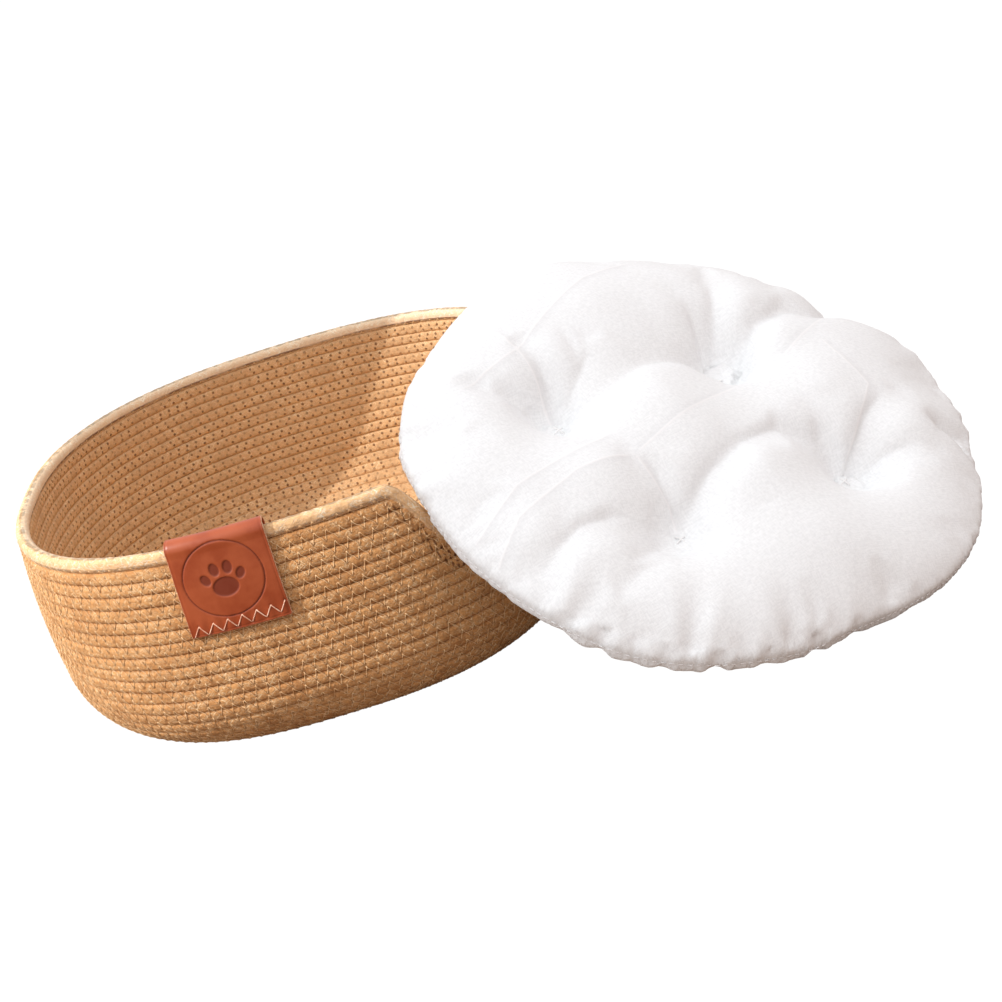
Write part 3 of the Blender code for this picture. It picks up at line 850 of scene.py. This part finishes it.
def seal_depth(x, y):
    """How deeply the leather is pressed, 0 to 1, by a ring and a paw print."""
    x, y = x - SEAL_CENTRE[0], y - SEAL_CENTRE[1]
    ring = 1 - smooth((np.abs(np.hypot(x, y) - SEAL_RADIUS) - 0.00012) / 0.0005)
    marks = [blob(x, y, 0, -0.0052, 0.0078, 0.0062)]
    marks += [blob(x, y, -0.0106, 0.0012, 0.0027, 0.0038, 0.45),
              blob(x, y, -0.0041, 0.0066, 0.0029, 0.0042, 0.12),
              blob(x, y, 0.0041, 0.0066, 0.0029, 0.0042, -0.12),
              blob(x, y, 0.0106, 0.0012, 0.0027, 0.0038, -0.45)]
    paw = 1 - smooth(np.minimum.reduce(marks) / 0.0008 + 0.5)
    return np.maximum(ring, paw)


def stitch_points():
    """The zigzag's corners as (across, distance from the lower edge)."""
    last = 2 * TAB_TEETH - 1
    return [(-0.47 + 0.94 * i / last, 0.0004 + 0.0034 * i / last + (0.0066 if i % 2 else 0.0))
            for i in range(last + 1)]


def build_tab():
    columns, rows = 120, 200
    across = np.linspace(-0.5, 0.5, columns + 1)
    distance = np.linspace(0, TAB_LENGTH, rows + 1)
    a, d = np.meshgrid(across, distance)
    x = a * TAB_WIDTH
    edge = np.minimum.reduce([x + TAB_WIDTH / 2, TAB_WIDTH / 2 - x, d, TAB_LENGTH - d])
    half = TAB_THICKNESS / 2
    rounding = half * (1 - np.sqrt(np.clip(1 - (1 - np.clip(edge / 0.0007, 0, 1)) ** 2, 0, 1)))
    press = seal_depth(x, d)
    holes = np.zeros_like(x)
    for at, height in stitch_points():
        away = np.hypot(x - at * TAB_WIDTH, d - height)
        holes = np.maximum(holes, np.exp(-(away / 0.0008) ** 2))
    pucker = 0.0003 * np.sin(x / 0.0041 * math.pi) * np.exp(-((d - 0.005) / 0.006) ** 2)
    rim_edge = 0.00028 * np.exp(-((edge - 0.0016) / 0.0005) ** 2)
    lift = half - rounding - press * 0.00055 - holes * 0.0005 + pucker - rim_edge
    top = tab_surface(a, d, lift)
    under = tab_surface(a, d, rounding * 0.6 - half)
    wide, tall = columns + 1, rows + 1
    base = (np.arange(rows)[:, None] * wide + np.arange(columns)).ravel()
    outer = np.stack([base, base + 1, base + wide + 1, base + wide], -1)
    inner = outer[:, ::-1] + wide * tall
    ring = list(range(wide))
    ring += [r * wide + columns for r in range(1, tall)]
    ring += [rows * wide + k for k in range(columns - 1, -1, -1)]
    ring += [r * wide for r in range(rows - 1, 0, -1)]
    ring = np.array(ring)
    after = np.roll(ring, -1)
    wall = np.stack([ring, ring + wide * tall, after + wide * tall, after], -1)
    points = np.concatenate([top.reshape(-1, 3), under.reshape(-1, 3)])
    faces = np.concatenate([outer, inner, wall])
    obj = new_mesh_object("tab_pressed_leather", points, faces, LEATHER)
    obj.data.materials.append(LEATHER_EDGE)
    slots = np.zeros(len(faces), np.int32)
    slots[len(outer) + len(inner):] = 1
    brink = edge[:-1, :-1] + edge[1:, 1:]
    slots[:len(outer)][brink.ravel() < 0.0011] = 1
    obj.data.polygons.foreach_set("material_index", slots)
    mark = np.concatenate([press.ravel(), np.zeros(wide * tall)])
    add_uv(obj.data, "press", np.zeros(faces.size), mark[faces.ravel()])
    attach(obj, "basket", "tab_leather", "tab_leather")

    corners = stitch_points()
    paths = []
    for (a0, d0), (a1, d1) in zip(corners, corners[1:]):
        share = np.linspace(0, 1, 9)
        dip = np.where((share == 0) | (share == 1), -0.0005, 0.0)
        lift = half + TAB_THREAD_RADIUS * 0.7 + dip
        paths.append(tab_surface(a0 + (a1 - a0) * share, d0 + (d1 - d0) * share, lift))
    stitches = thread_mesh("tab_zigzag_thread", paths, TAB_THREAD_RADIUS, TAB_THREAD, 6)
    attach(stitches, "basket", "tab_thread", "tab_stitching")


for course in COURSES:
    build_course(course)
build_rim()
build_centre_coil()
build_seams()
build_rim_seam()
build_tab()


# ---- the cushion --------------------------------------------------------------------------
CUSHION_RADIUS = 0.19
CUSHION_HALF = 0.033
PATTERN_RADIUS = 0.201             # each panel's flat radius, before it is gathered into the seam
LATTICE = 0.0046                   # spacing of the simulated cloth's points
TUFT_FLOOR = 0.002                 # how high a tuft's stitch lies on the top panel
TUFT_UNDER = -0.022                # and on the bottom panel

# Valleys that the stuffing leaves, as (points in the cushion's frame in millimetres, depth, width).
VALLEYS = [
    ([(-81, 39), (-98, 58), (-112, 78)], 7, 12), ([(-81, 39), (-74, 66), (-70, 100)], 8, 12),
    ([(-81, 39), (-52, 62), (-30, 82)], 5, 14), ([(50, 36), (52, 70), (58, 104)], 6, 14),
    ([(50, 36), (68, 76), (96, 124)], 8, 13), ([(50, 36), (92, 62), (124, 70), (158, 62)], 9, 12),
    ([(50, 36), (26, 50), (-8, 52), (-50, 38)], 6, 13),
    ([(-63, -75), (-34, -54), (4, -38), (36, -36), (56, -52), (64, -80)], 9, 13),
    ([(64, -80), (62, -54), (64, -30)], 5, 12), ([(64, -80), (98, -50), (128, -34)], 6, 12),
    ([(64, -80), (92, -78), (122, -84)], 5, 12), ([(146, -66), (158, -78), (158, -104)], 6, 9),
    ([(-63, -75), (-92, -86), (-118, -96)], 5, 12), ([(-63, -75), (-62, -46), (-60, -20)], 6, 13),
    ([(-150, -66), (-130, -58), (-108, -60), (-92, -66)], 6, 11),
]
CLOTH_FRAMES = 30
LARGEST_MOVE = 0.03                # how far the stuffing may push any point
CLOTH = {
    "quality": 7, "mass": 0.25, "air_damping": 2.5, "use_pressure": True, "uniform_pressure_force": 8.0,
    "tension_stiffness": 12, "compression_stiffness": 12, "shear_stiffness": 4, "bending_stiffness": 0.6,
    "tension_damping": 8, "compression_damping": 8, "shear_damping": 4, "bending_damping": 0.6,
}
TOP_SIDE = 0.0015                  # cloth above this height belongs to the top panel
LEVEL = np.array([1, 1, 0])
PUCKERS = 9                        # short gathers round each tuft
# Where the edge is fuller or pulled in: (direction in degrees, width in degrees, share of radius).
BULGES = [(86, 22, 0.050), (128, 16, -0.030), (-137, 26, 0.050), (-88, 20, -0.055),
          (-3, 18, 0.045), (22, 6, -0.060), (45, 14, 0.012), (172, 20, 0.012), (-48, 14, 0.006)]
# Gathers into the seam: (direction in degrees, how far they run in, depth) in millimetres.
PLEATS = [(-153, 24, 1.3), (-146, 42, 2.0), (-135, 26, 1.2), (-126, 52, 2.4), (-117, 26, 1.4),
          (-107, 40, 1.9), (-97, 24, 1.1), (-82, 20, 0.8), (-60, 30, 1.0), (-38, 22, 1.3),
          (-25, 30, 1.7), (-13, 20, 1.2), (4, 26, 1.3), (21, 36, 2.2), (37, 18, 1.0),
          (60, 20, 0.8), (100, 20, 0.7), (128, 24, 1.0), (152, 22, 1.0), (171, 26, 1.2)]
# Ironed creases, standing proud of the cloth by a thread's width, with a painted highlight along them and
# painted shade to one side.
CREASES = [
    [(56, 158), (6, 148), (-42, 122), (-78, 98), (-137, 78)], [(-80, 128), (-78, 98), (-81, 39)],
    [(-64, 2), (-146, -14), (-186, -34)], [(-66, -22), (-110, -22), (-158, -36), (-190, -62)],
    [(-66, -22), (40, 10)], [(118, 26), (117, -28), (66, -76)], [(82, 20), (150, 52)],
    [(-66, -22), (-63, -75)],
]


def cushion_place():
    """The matrix from the cushion's frame to the row frame, from its ties and its seam."""
    ties = []
    for i in range(1, 5):
        low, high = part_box("tuft_tie_%d" % i)
        ties.append(np.array((low + high) / 2))
    first = (ties[1] - ties[0]) + (ties[2] - ties[3])
    lean = (ties[0] - ties[3]) + (ties[1] - ties[2])
    first /= np.linalg.norm(first)
    lean /= np.linalg.norm(lean)
    normal = np.cross(first, lean)
    normal /= np.linalg.norm(normal)
    second = np.cross(normal, first)
    low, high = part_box("cushion_seam_thread")
    centre = np.array((low + high) / 2)
    tufts = [np.array([(t - centre) @ first, (t - centre) @ second]) for t in ties]
    return centre, np.stack([first, second, normal], 1), tufts


CUSHION_CENTRE, CUSHION_AXES, TUFTS = cushion_place()


def to_row_frame(points):
    return points @ CUSHION_AXES.T + CUSHION_CENTRE


def outline(angle):
    """The cushion's edge isn't a true circle: it is fuller in places and pulled in at others."""
    reach = np.full_like(angle, 1.012)
    for middle, width, amount in BULGES:
        away = half_turn(angle - math.radians(middle))
        reach += amount * np.exp(-(away / math.radians(width)) ** 2)
    return reach


def flat_panel():
    """An even lattice over one flat round panel: (points, triangles)."""
    edge_count = int(TURN * PATTERN_RADIUS / LATTICE)
    angle = np.arange(edge_count) * TURN / edge_count
    ring = np.stack([np.cos(angle), np.sin(angle)], -1) * PATTERN_RADIUS
    rows = int(PATTERN_RADIUS / (LATTICE * math.sqrt(0.75))) + 1
    inner = []
    for row in range(-rows, rows + 1):
        y = row * LATTICE * math.sqrt(0.75)
        for column in range(-rows * 2, rows * 2 + 1):
            x = (column + 0.5 * (row % 2)) * LATTICE
            if math.hypot(x, y) < PATTERN_RADIUS - 0.7 * LATTICE:
                inner.append((x, y))
    points = np.concatenate([ring, np.array(inner)])
    result = delaunay_2d_cdt([Vector(p) for p in points.tolist()], [], [], 0, 1e-7)
    triangles = np.array([list(face) for face in result[2]])
    return np.array([tuple(v) for v in result[0]]), triangles


def distance_to_line(points, line):
    """From plan points to a polyline: the distance, how far along it (0 to 1) and on which side."""
    best = np.full(len(points), 1e9)
    where, side = np.zeros(len(points)), np.ones(len(points))
    count = len(line) - 1
    for k in range(count):
        start, way = line[k], line[k + 1] - line[k]
        share = np.clip(((points - start) @ way) / (way @ way), 0, 1)
        away = np.linalg.norm(points - start - share[:, None] * way, axis=1)
        closer = away < best
        best = np.where(closer, away, best)
        where = np.where(closer, (k + share) / count, where)
        turned = way[0] * (points - start)[:, 1] - way[1] * (points - start)[:, 0]
        side = np.where(closer, np.sign(turned), side)
    return best, where, side


def puffed(flat, top):
    """The start of the simulation: a low mound with dimples and the first hint of its valleys."""
    reach = np.hypot(flat[:, 0], flat[:, 1]) / PATTERN_RADIUS
    plan = flat * (CUSHION_RADIUS * 0.985 / PATTERN_RADIUS)
    share = np.clip(reach, 0, 1)
    rise = CUSHION_HALF * 0.72 * (1 - share ** 3.2) ** 0.5
    floor = TUFT_FLOOR if top else -TUFT_UNDER
    pull = np.zeros(len(flat))
    for tuft in TUFTS:
        away = np.linalg.norm(plan - tuft, axis=1)
        pull = np.maximum(pull, np.exp(-(away / 0.030) ** 1.3))
    rise = rise + (floor - rise) * pull
    if top:
        for line, depth, width in VALLEYS:
            away = distance_to_line(plan, np.array(line, float) / 1000)[0]
            rise -= depth * 0.0006 * np.exp(-(away / (width * 0.001)) ** 2)
    sign = 1 if top else -1
    return np.column_stack([plan, sign * np.maximum(rise, 0.0)])


def cushion_cloth():
    """Both panels sewn at their edge, blown up like the stuffing does and held at the tufts."""
    flat, triangles = flat_panel()
    count = len(flat)
    is_edge = np.abs(np.hypot(*flat.T) - PATTERN_RADIUS) < 1e-5
    lower_index = np.arange(count)
    inner = np.flatnonzero(~is_edge)
    lower_index[inner] = count + np.arange(len(inner))
    points = np.concatenate([puffed(flat, True), puffed(flat, False)[inner]])
    pattern = np.concatenate([flat, flat[inner]])
    signed = np.cross(flat[triangles[:, 1]] - flat[triangles[:, 0]],
                      flat[triangles[:, 2]] - flat[triangles[:, 0]])
    triangles = np.where((signed > 0)[:, None], triangles, triangles[:, ::-1])
    faces = np.concatenate([triangles, lower_index[triangles][:, ::-1]])
    quiver = np.random.default_rng(11)
    tremble = np.zeros(len(points))
    for _ in range(14):
        way = quiver.normal(0, 1, 2)
        way = way / np.linalg.norm(way) * TURN / quiver.uniform(0.05, 0.12)
        tremble += np.sin(pattern @ way + quiver.uniform(0, TURN)) * 0.0003
    points[:, 2] += tremble
    obj = new_mesh_object("cushion_cover", points, faces, COTTON)
    weave = pattern[faces.ravel()]
    add_uv(obj.data, "weave", weave[:, 0], weave[:, 1])
    simulate(obj, pattern, points)
    return obj, np.flatnonzero(is_edge)


def simulate(obj, pattern, points):
    """Pressure fills the cover, whose cloth wants to be its flat pattern and is held at the tufts."""
    obj.shape_key_add(name="Basis")
    sewn = obj.shape_key_add(name="pattern")
    shape = np.column_stack([pattern, points[:, 2] * 0.25])
    sewn.data.foreach_set("co", shape.astype(np.float32).ravel())
    held = obj.vertex_groups.new(name="held")
    for tuft in TUFTS:
        near = np.flatnonzero(np.linalg.norm(points[:, :2] - tuft, axis=1) < 0.0042)
        held.add(near.tolist(), 1.0, "REPLACE")
    cloth = obj.modifiers.new("stuffing", "CLOTH")
    for name, value in CLOTH.items():
        setattr(cloth.settings, name, value)
    cloth.settings.rest_shape_key = sewn
    cloth.settings.vertex_group_mass = "held"
    cloth.settings.effector_weights.gravity = 0.0
    cloth.collision_settings.use_collision = False
    cloth.collision_settings.use_self_collision = False
    scene = bpy.context.scene
    for number in range(1, CLOTH_FRAMES + 1):
        scene.frame_set(number)
    graph = bpy.context.evaluated_depsgraph_get()
    settled = read_points(obj.evaluated_get(graph).data)
    obj.modifiers.remove(cloth)
    obj.shape_key_clear()
    obj.vertex_groups.clear()
    moved = settled - points
    length = np.linalg.norm(moved, axis=1, keepdims=True)
    write_points(obj.data, points + moved * np.minimum(1, LARGEST_MOVE / np.maximum(length, 1e-9)))
    scene.frame_set(1)


def read_points(mesh, what="co"):
    """The positions of a mesh's vertices, or their normals."""
    points = np.zeros(len(mesh.vertices) * 3, np.float32)
    mesh.vertices.foreach_get(what, points)
    return points.reshape(-1, 3).astype(float)


def write_points(mesh, points):
    mesh.vertices.foreach_set("co", points.astype(np.float32).ravel())
    mesh.update()


def subdivide(obj):
    finer = obj.modifiers.new("finer", "SUBSURF")
    finer.levels = 1
    finer.render_levels = 1
    finer.subdivision_type = "CATMULL_CLARK"
    finer.uv_smooth = "PRESERVE_BOUNDARIES"
    graph = bpy.context.evaluated_depsgraph_get()
    fine = bpy.data.meshes.new_from_object(obj.evaluated_get(graph))
    obj.modifiers.remove(finer)
    obj.data = fine


def fit_to_box(points):
    """Sizes the stuffed cover to the thickness of the CAD cushion and the outline of the cloth one."""
    high = np.quantile(points[:, 2], 0.9995)
    low = np.quantile(points[:, 2], 0.0005)
    points[:, 2] = np.where(points[:, 2] > 0, points[:, 2] * CUSHION_HALF / high,
                            points[:, 2] * CUSHION_HALF / -low)
    reach = np.hypot(points[:, 0], points[:, 1])
    points[:, :2] *= CUSHION_RADIUS / np.quantile(reach, 0.995)
    angle = np.arctan2(points[:, 1], points[:, 0])
    points[:, :2] *= outline(angle)[:, None]
    return points


def finish_cloth(points, normals):
    """Deepens the valleys a little and gathers the edge into the seam."""
    top = points[:, 2] > TOP_SIDE
    plan = points[:, :2]
    move = np.zeros(len(points))
    for line, depth, width in VALLEYS:
        away, where, side = distance_to_line(plan, np.array(line, float) / 1000)
        fade = (1 - smooth((where - 0.55) / 0.45)) * (0.45 + 0.55 * smooth(where / 0.12))
        sharp = np.sqrt(away ** 2 + 0.0009 ** 2) - 0.0009
        wide = width * np.where(side > 0, 0.00026, 0.00062)
        move -= top * depth * 0.00060 * fade * np.exp(-sharp / wide)
    pull = np.random.default_rng(5)
    for tuft in TUFTS:
        offset = plan - tuft
        away = np.hypot(offset[:, 0], offset[:, 1])
        around = np.arctan2(offset[:, 1], offset[:, 0])
        for k in range(PUCKERS):
            middle = (k + pull.uniform(-0.3, 0.3)) * TURN / PUCKERS
            run, depth, wide = pull.uniform(0.016, 0.036), pull.uniform(0.5, 1.5), pull.uniform(2.0, 3.2)
            turn = half_turn(around - middle)
            fade = smooth(away / 0.005) * (1 - smooth((away - 0.006) / run)) * (np.abs(turn) < 1.4)
            move -= depth * 0.001 * fade * np.exp(-(turn * away / (wide * 0.001)) ** 2)
    reach = np.hypot(plan[:, 0], plan[:, 1])
    angle = np.arctan2(plan[:, 1], plan[:, 0])
    edge = CUSHION_RADIUS * outline(angle)
    for flip, shift in ((1, 0.0), (-1, 5.0)):
        side = points[:, 2] * flip > -0.001
        for middle, run, depth in PLEATS:
            turn = half_turn(angle - math.radians(middle + shift))
            inwards = (edge - reach) / (run * 0.001)
            wide = 0.0042 + 0.0045 * np.clip(inwards, 0, 1)
            away = turn * reach / wide
            fade = np.exp(-np.clip(inwards, 0, None) ** 2 * 1.6)
            fold = np.exp(-away ** 2) - 0.45 * np.exp(-((np.abs(away) - 1.9) / 0.9) ** 2)
            move -= side * depth * 0.001 * fade * fold
    return points + normals * move[:, None]


def crease_marks(plan, top):
    """For each point, its signed distance from the nearest ironed crease and how sharp that is."""
    best, signed, strength = np.full(len(plan), 1.0), np.full(len(plan), 1.0), np.zeros(len(plan))
    for points in CREASES:
        line = np.array(points, float) / 1000
        away, where, side = distance_to_line(plan, line)
        closer = away < best
        best = np.where(closer, away, best)
        signed = np.where(closer, away * side, signed)
        fade = smooth(where / 0.08) * smooth((1 - where) / 0.08)
        strength = np.where(closer, fade, strength)
    near = best < 0.02
    return np.where(near, signed, 1.0), strength * near * top


def clear_of_neighbours(points):
    """World points kept off the floor and clear of the rim rope that the cushion leans on."""
    line = rim_line(np.linspace(-math.pi, math.pi, 721))
    normal = CUSHION_AXES[:, 2]
    gap = RIM_ROPE_RADIUS + 0.0012
    near = np.flatnonzero(np.hypot(points[:, 0], points[:, 1]) < RIM_RADIUS + 0.03)
    for _ in range(4):
        for chunk in np.array_split(near, max(1, len(near) // 4000)):
            away = points[chunk][:, None] - line[None]
            short = gap - np.linalg.norm(away, axis=-1).min(1)
            points[chunk] += normal * np.maximum(short, 0)[:, None] * 1.2
    points[:, 2] = np.maximum(points[:, 2], 0.0008)
    return points


def seam_line(angle, around, edge_line):
    """Points on the seam at an array of angles, from the angles and places of its known points."""
    return np.stack([np.interp(angle, around, part, period=TURN) for part in edge_line.T], -1)


def build_cover():
    """The stuffed cover. Gives its points in the cushion's frame, and the angles and line of its seam."""
    obj, edge = cushion_cloth()
    points = fit_to_box(read_points(obj.data))
    edge_line = points[edge].copy()
    write_points(obj.data, points)
    subdivide(obj)
    mesh = obj.data
    points = read_points(mesh)
    normals = read_points(mesh, "normal")
    marks = crease_marks(points[:, :2], points[:, 2] > TOP_SIDE)
    corner = np.zeros(len(mesh.loops), np.int32)
    mesh.loops.foreach_get("vertex_index", corner)
    add_uv(mesh, "crease", marks[0][corner], marks[1][corner])
    points = finish_cloth(points, normals)
    around = np.arctan2(edge_line[:, 1], edge_line[:, 0])
    order = np.argsort(around)
    around, edge_line = around[order], edge_line[order]
    seam = seam_line(np.arctan2(points[:, 1], points[:, 0]), around, edge_line)
    away = np.linalg.norm(points - seam, axis=1)
    points -= unit(points * LEVEL) * (0.0026 * np.exp(-(away / 0.0028) ** 2))[:, None]
    write_points(mesh, clear_of_neighbours(to_row_frame(points)))
    mesh.shade_smooth()
    attach(obj, "cushion", "cotton_cloth", "cushion_top_panel", "cushion_bottom_panel",
           "cushion_filling")
    return points, around, edge_line


def build_seam_stitches(around, edge_line):
    """Short stitches round the seam, sunk a little into the gathered edge."""
    even = np.linspace(-math.pi, math.pi, 1200, endpoint=False)
    ring = seam_line(even, around, edge_line)
    ring = np.concatenate([ring[-4:], ring, ring[:4]])
    ring = np.stack([np.convolve(part, np.ones(9) / 9, "valid") for part in ring.T], -1)
    ring -= unit(ring * LEVEL) * 0.0030
    stitches = [clear_of_neighbours(to_row_frame(ring[k:k + 4])) for k in range(0, 1200, 5)]
    thread = thread_mesh("cushion_seam_stitches", stitches, 0.00035, WHITE_THREAD)
    attach(thread, "cushion", "cushion_thread", "cushion_seam_thread")


def build_ties(points):
    """Two crossed stitches on each tuft, above and below, seated on the cloth round them."""
    share = np.linspace(-1, 1, 9)
    arch = 0.0014 * (1 - share ** 2) - 0.0006
    ties = []
    for x, y in TUFTS:
        for level, sign in ((TUFT_FLOOR, 1), (TUFT_UNDER, -1)):
            near = np.hypot(points[:, 0] - x, points[:, 1] - y) < 0.0035
            near &= np.abs(points[:, 2] - level) < 0.009
            base = points[near, 2].mean() if near.any() else level
            for turn in (0.4, 1.97):
                line = np.stack([x + 0.0042 * share * math.cos(turn),
                                 y + 0.0042 * share * math.sin(turn), base + sign * arch], -1)
                ties.append(to_row_frame(line))
    thread = thread_mesh("cushion_tuft_ties", ties, 0.0006, WHITE_THREAD, 8)
    attach(thread, "cushion", "cushion_thread", *["tuft_tie_%d" % i for i in range(1, 5)])


cover_points, seam_angles, seam_places = build_cover()
build_seam_stitches(seam_angles, seam_places)
build_ties(cover_points)


# ---- floor, light and camera --------------------------------------------------------------
ROOM_DARK = (0.42, 0.26, 0.20)
ROOM_BRIGHT = (1.25, 1.22, 1.23)
OVERHEAD = (1.39, 1.40, 1.42)


def build_floor():
    """A pale floor, nearly white to the camera, that gives little warm light back to the rope."""
    mesh = bpy.data.meshes.new("floor")
    half = 30.0
    mesh.from_pydata([(-half, -half, 0), (half, -half, 0), (half, half, 0), (-half, half, 0)],
                     [], [(0, 1, 2, 3)])
    floor = bpy.data.objects.new("floor", mesh)
    bpy.context.scene.collection.objects.link(floor)
    floor.location.z = -0.0005
    look = Look("floor_pale", 0.9)
    look.set("Base Color", (0.18, 0.125, 0.09))
    glow = look.node("Emission", Color=(1.0, 1.0, 1.0), Strength=1.12)
    blend = look.node("MixShader")
    look.put(blend.inputs[0], look.value("LightPath", "Is Camera Ray") * 0.93)
    look.tree.links.new(look.shader.outputs[0], blend.inputs[1])
    look.tree.links.new(glow.outputs[0], blend.inputs[2])
    look.tree.links.new(blend.outputs[0], look.tree.nodes["Material Output"].inputs["Surface"])
    mesh.materials.append(look.material)


def build_world():
    """White to the camera, and a soft room, brighter on the left, to everything it lights."""
    world = bpy.data.worlds.new("studio")
    bpy.context.scene.world = world
    world.use_nodes = True
    room = Nodes(world.node_tree)
    parts = room.parts(room.value("TexCoord", "Generated"))
    colour = room.mix(room.step(parts[0], 1.0, -1.0), ROOM_DARK, ROOM_BRIGHT)
    colour = room.mix(room.step(parts[2], 0.15, 0.95), colour, OVERHEAD)
    colour = room.mix(room.value("LightPath", "Is Camera Ray"), colour, (1.0, 1.0, 1.0))
    background = world.node_tree.nodes["Background"]
    room.put(background.inputs["Color"], colour)
    background.inputs["Strength"].default_value = 1.0


def build_camera():
    """Looks down at the basket from the front, turned a little about its own line of sight."""
    distance, pitch, roll = 1.3161, 0.3699, -0.2959
    aim = Vector((0.132, 0.0, 0.0484))
    ahead = Vector((0, math.cos(pitch), -math.sin(pitch)))
    right, up = Vector((1, 0, 0)), Vector((0, math.sin(pitch), math.cos(pitch)))
    turned_right = right * math.cos(roll) + up * math.sin(roll)
    turned_up = up * math.cos(roll) - right * math.sin(roll)
    lens = bpy.data.cameras.new("camera")
    lens.lens = 64.9
    lens.sensor_width = 36.0
    camera = bpy.data.objects.new("camera", lens)
    bpy.context.scene.collection.objects.link(camera)
    turn = Matrix((turned_right, turned_up, -ahead)).transposed().to_4x4()
    camera.matrix_world = Matrix.Translation(aim - ahead * distance) @ turn
    bpy.context.scene.camera = camera


build_floor()
build_world()
build_camera()
KEY_AZIMUTH, KEY_ELEVATION, KEY_DISTANCE = math.radians(198), math.radians(40), 3.0
KEY_REACH = 0.36                   # radius of the lit round
KEY_EDGE = Vector((-0.002, 0.178, 0.11))     # where the round's edge crosses the back wall
KEY_LEAN = math.radians(10)        # how far that edge leans from upright
sideways = Vector((-math.sin(KEY_AZIMUTH), math.cos(KEY_AZIMUTH), 0))
upwards = Vector((-math.cos(KEY_AZIMUTH) * math.sin(KEY_ELEVATION),
                  -math.sin(KEY_AZIMUTH) * math.sin(KEY_ELEVATION), math.cos(KEY_ELEVATION)))
target = KEY_EDGE + KEY_REACH * (sideways * math.cos(KEY_LEAN) - upwards * math.sin(KEY_LEAN))
lamp = bpy.data.lights.new("key", "SPOT")
lamp.energy = 320.0
lamp.color = (1.0, 0.955, 0.91)
lamp.spot_size = 2 * math.atan(KEY_REACH / KEY_DISTANCE)
lamp.spot_blend = 0.01
lamp.shadow_soft_size = 0.0025
key = bpy.data.objects.new("key", lamp)
bpy.context.scene.collection.objects.link(key)
to_key = polar(math.cos(KEY_ELEVATION), KEY_AZIMUTH, math.sin(KEY_ELEVATION))
key.location = target + Vector(to_key) * KEY_DISTANCE
key.rotation_euler = Vector(-to_key).to_track_quat("-Z", "Y").to_euler()
# The key is for the rope: the white cover takes only the soft light of the room.
lit = bpy.data.collections.new("lit_by_key")
for obj in bpy.context.scene.objects:
    if obj.type == "MESH" and not obj.name.startswith("cushion"):
        lit.objects.link(obj)
key.light_linking.receiver_collection = lit
bpy.context.scene.view_settings.view_transform = "Standard"

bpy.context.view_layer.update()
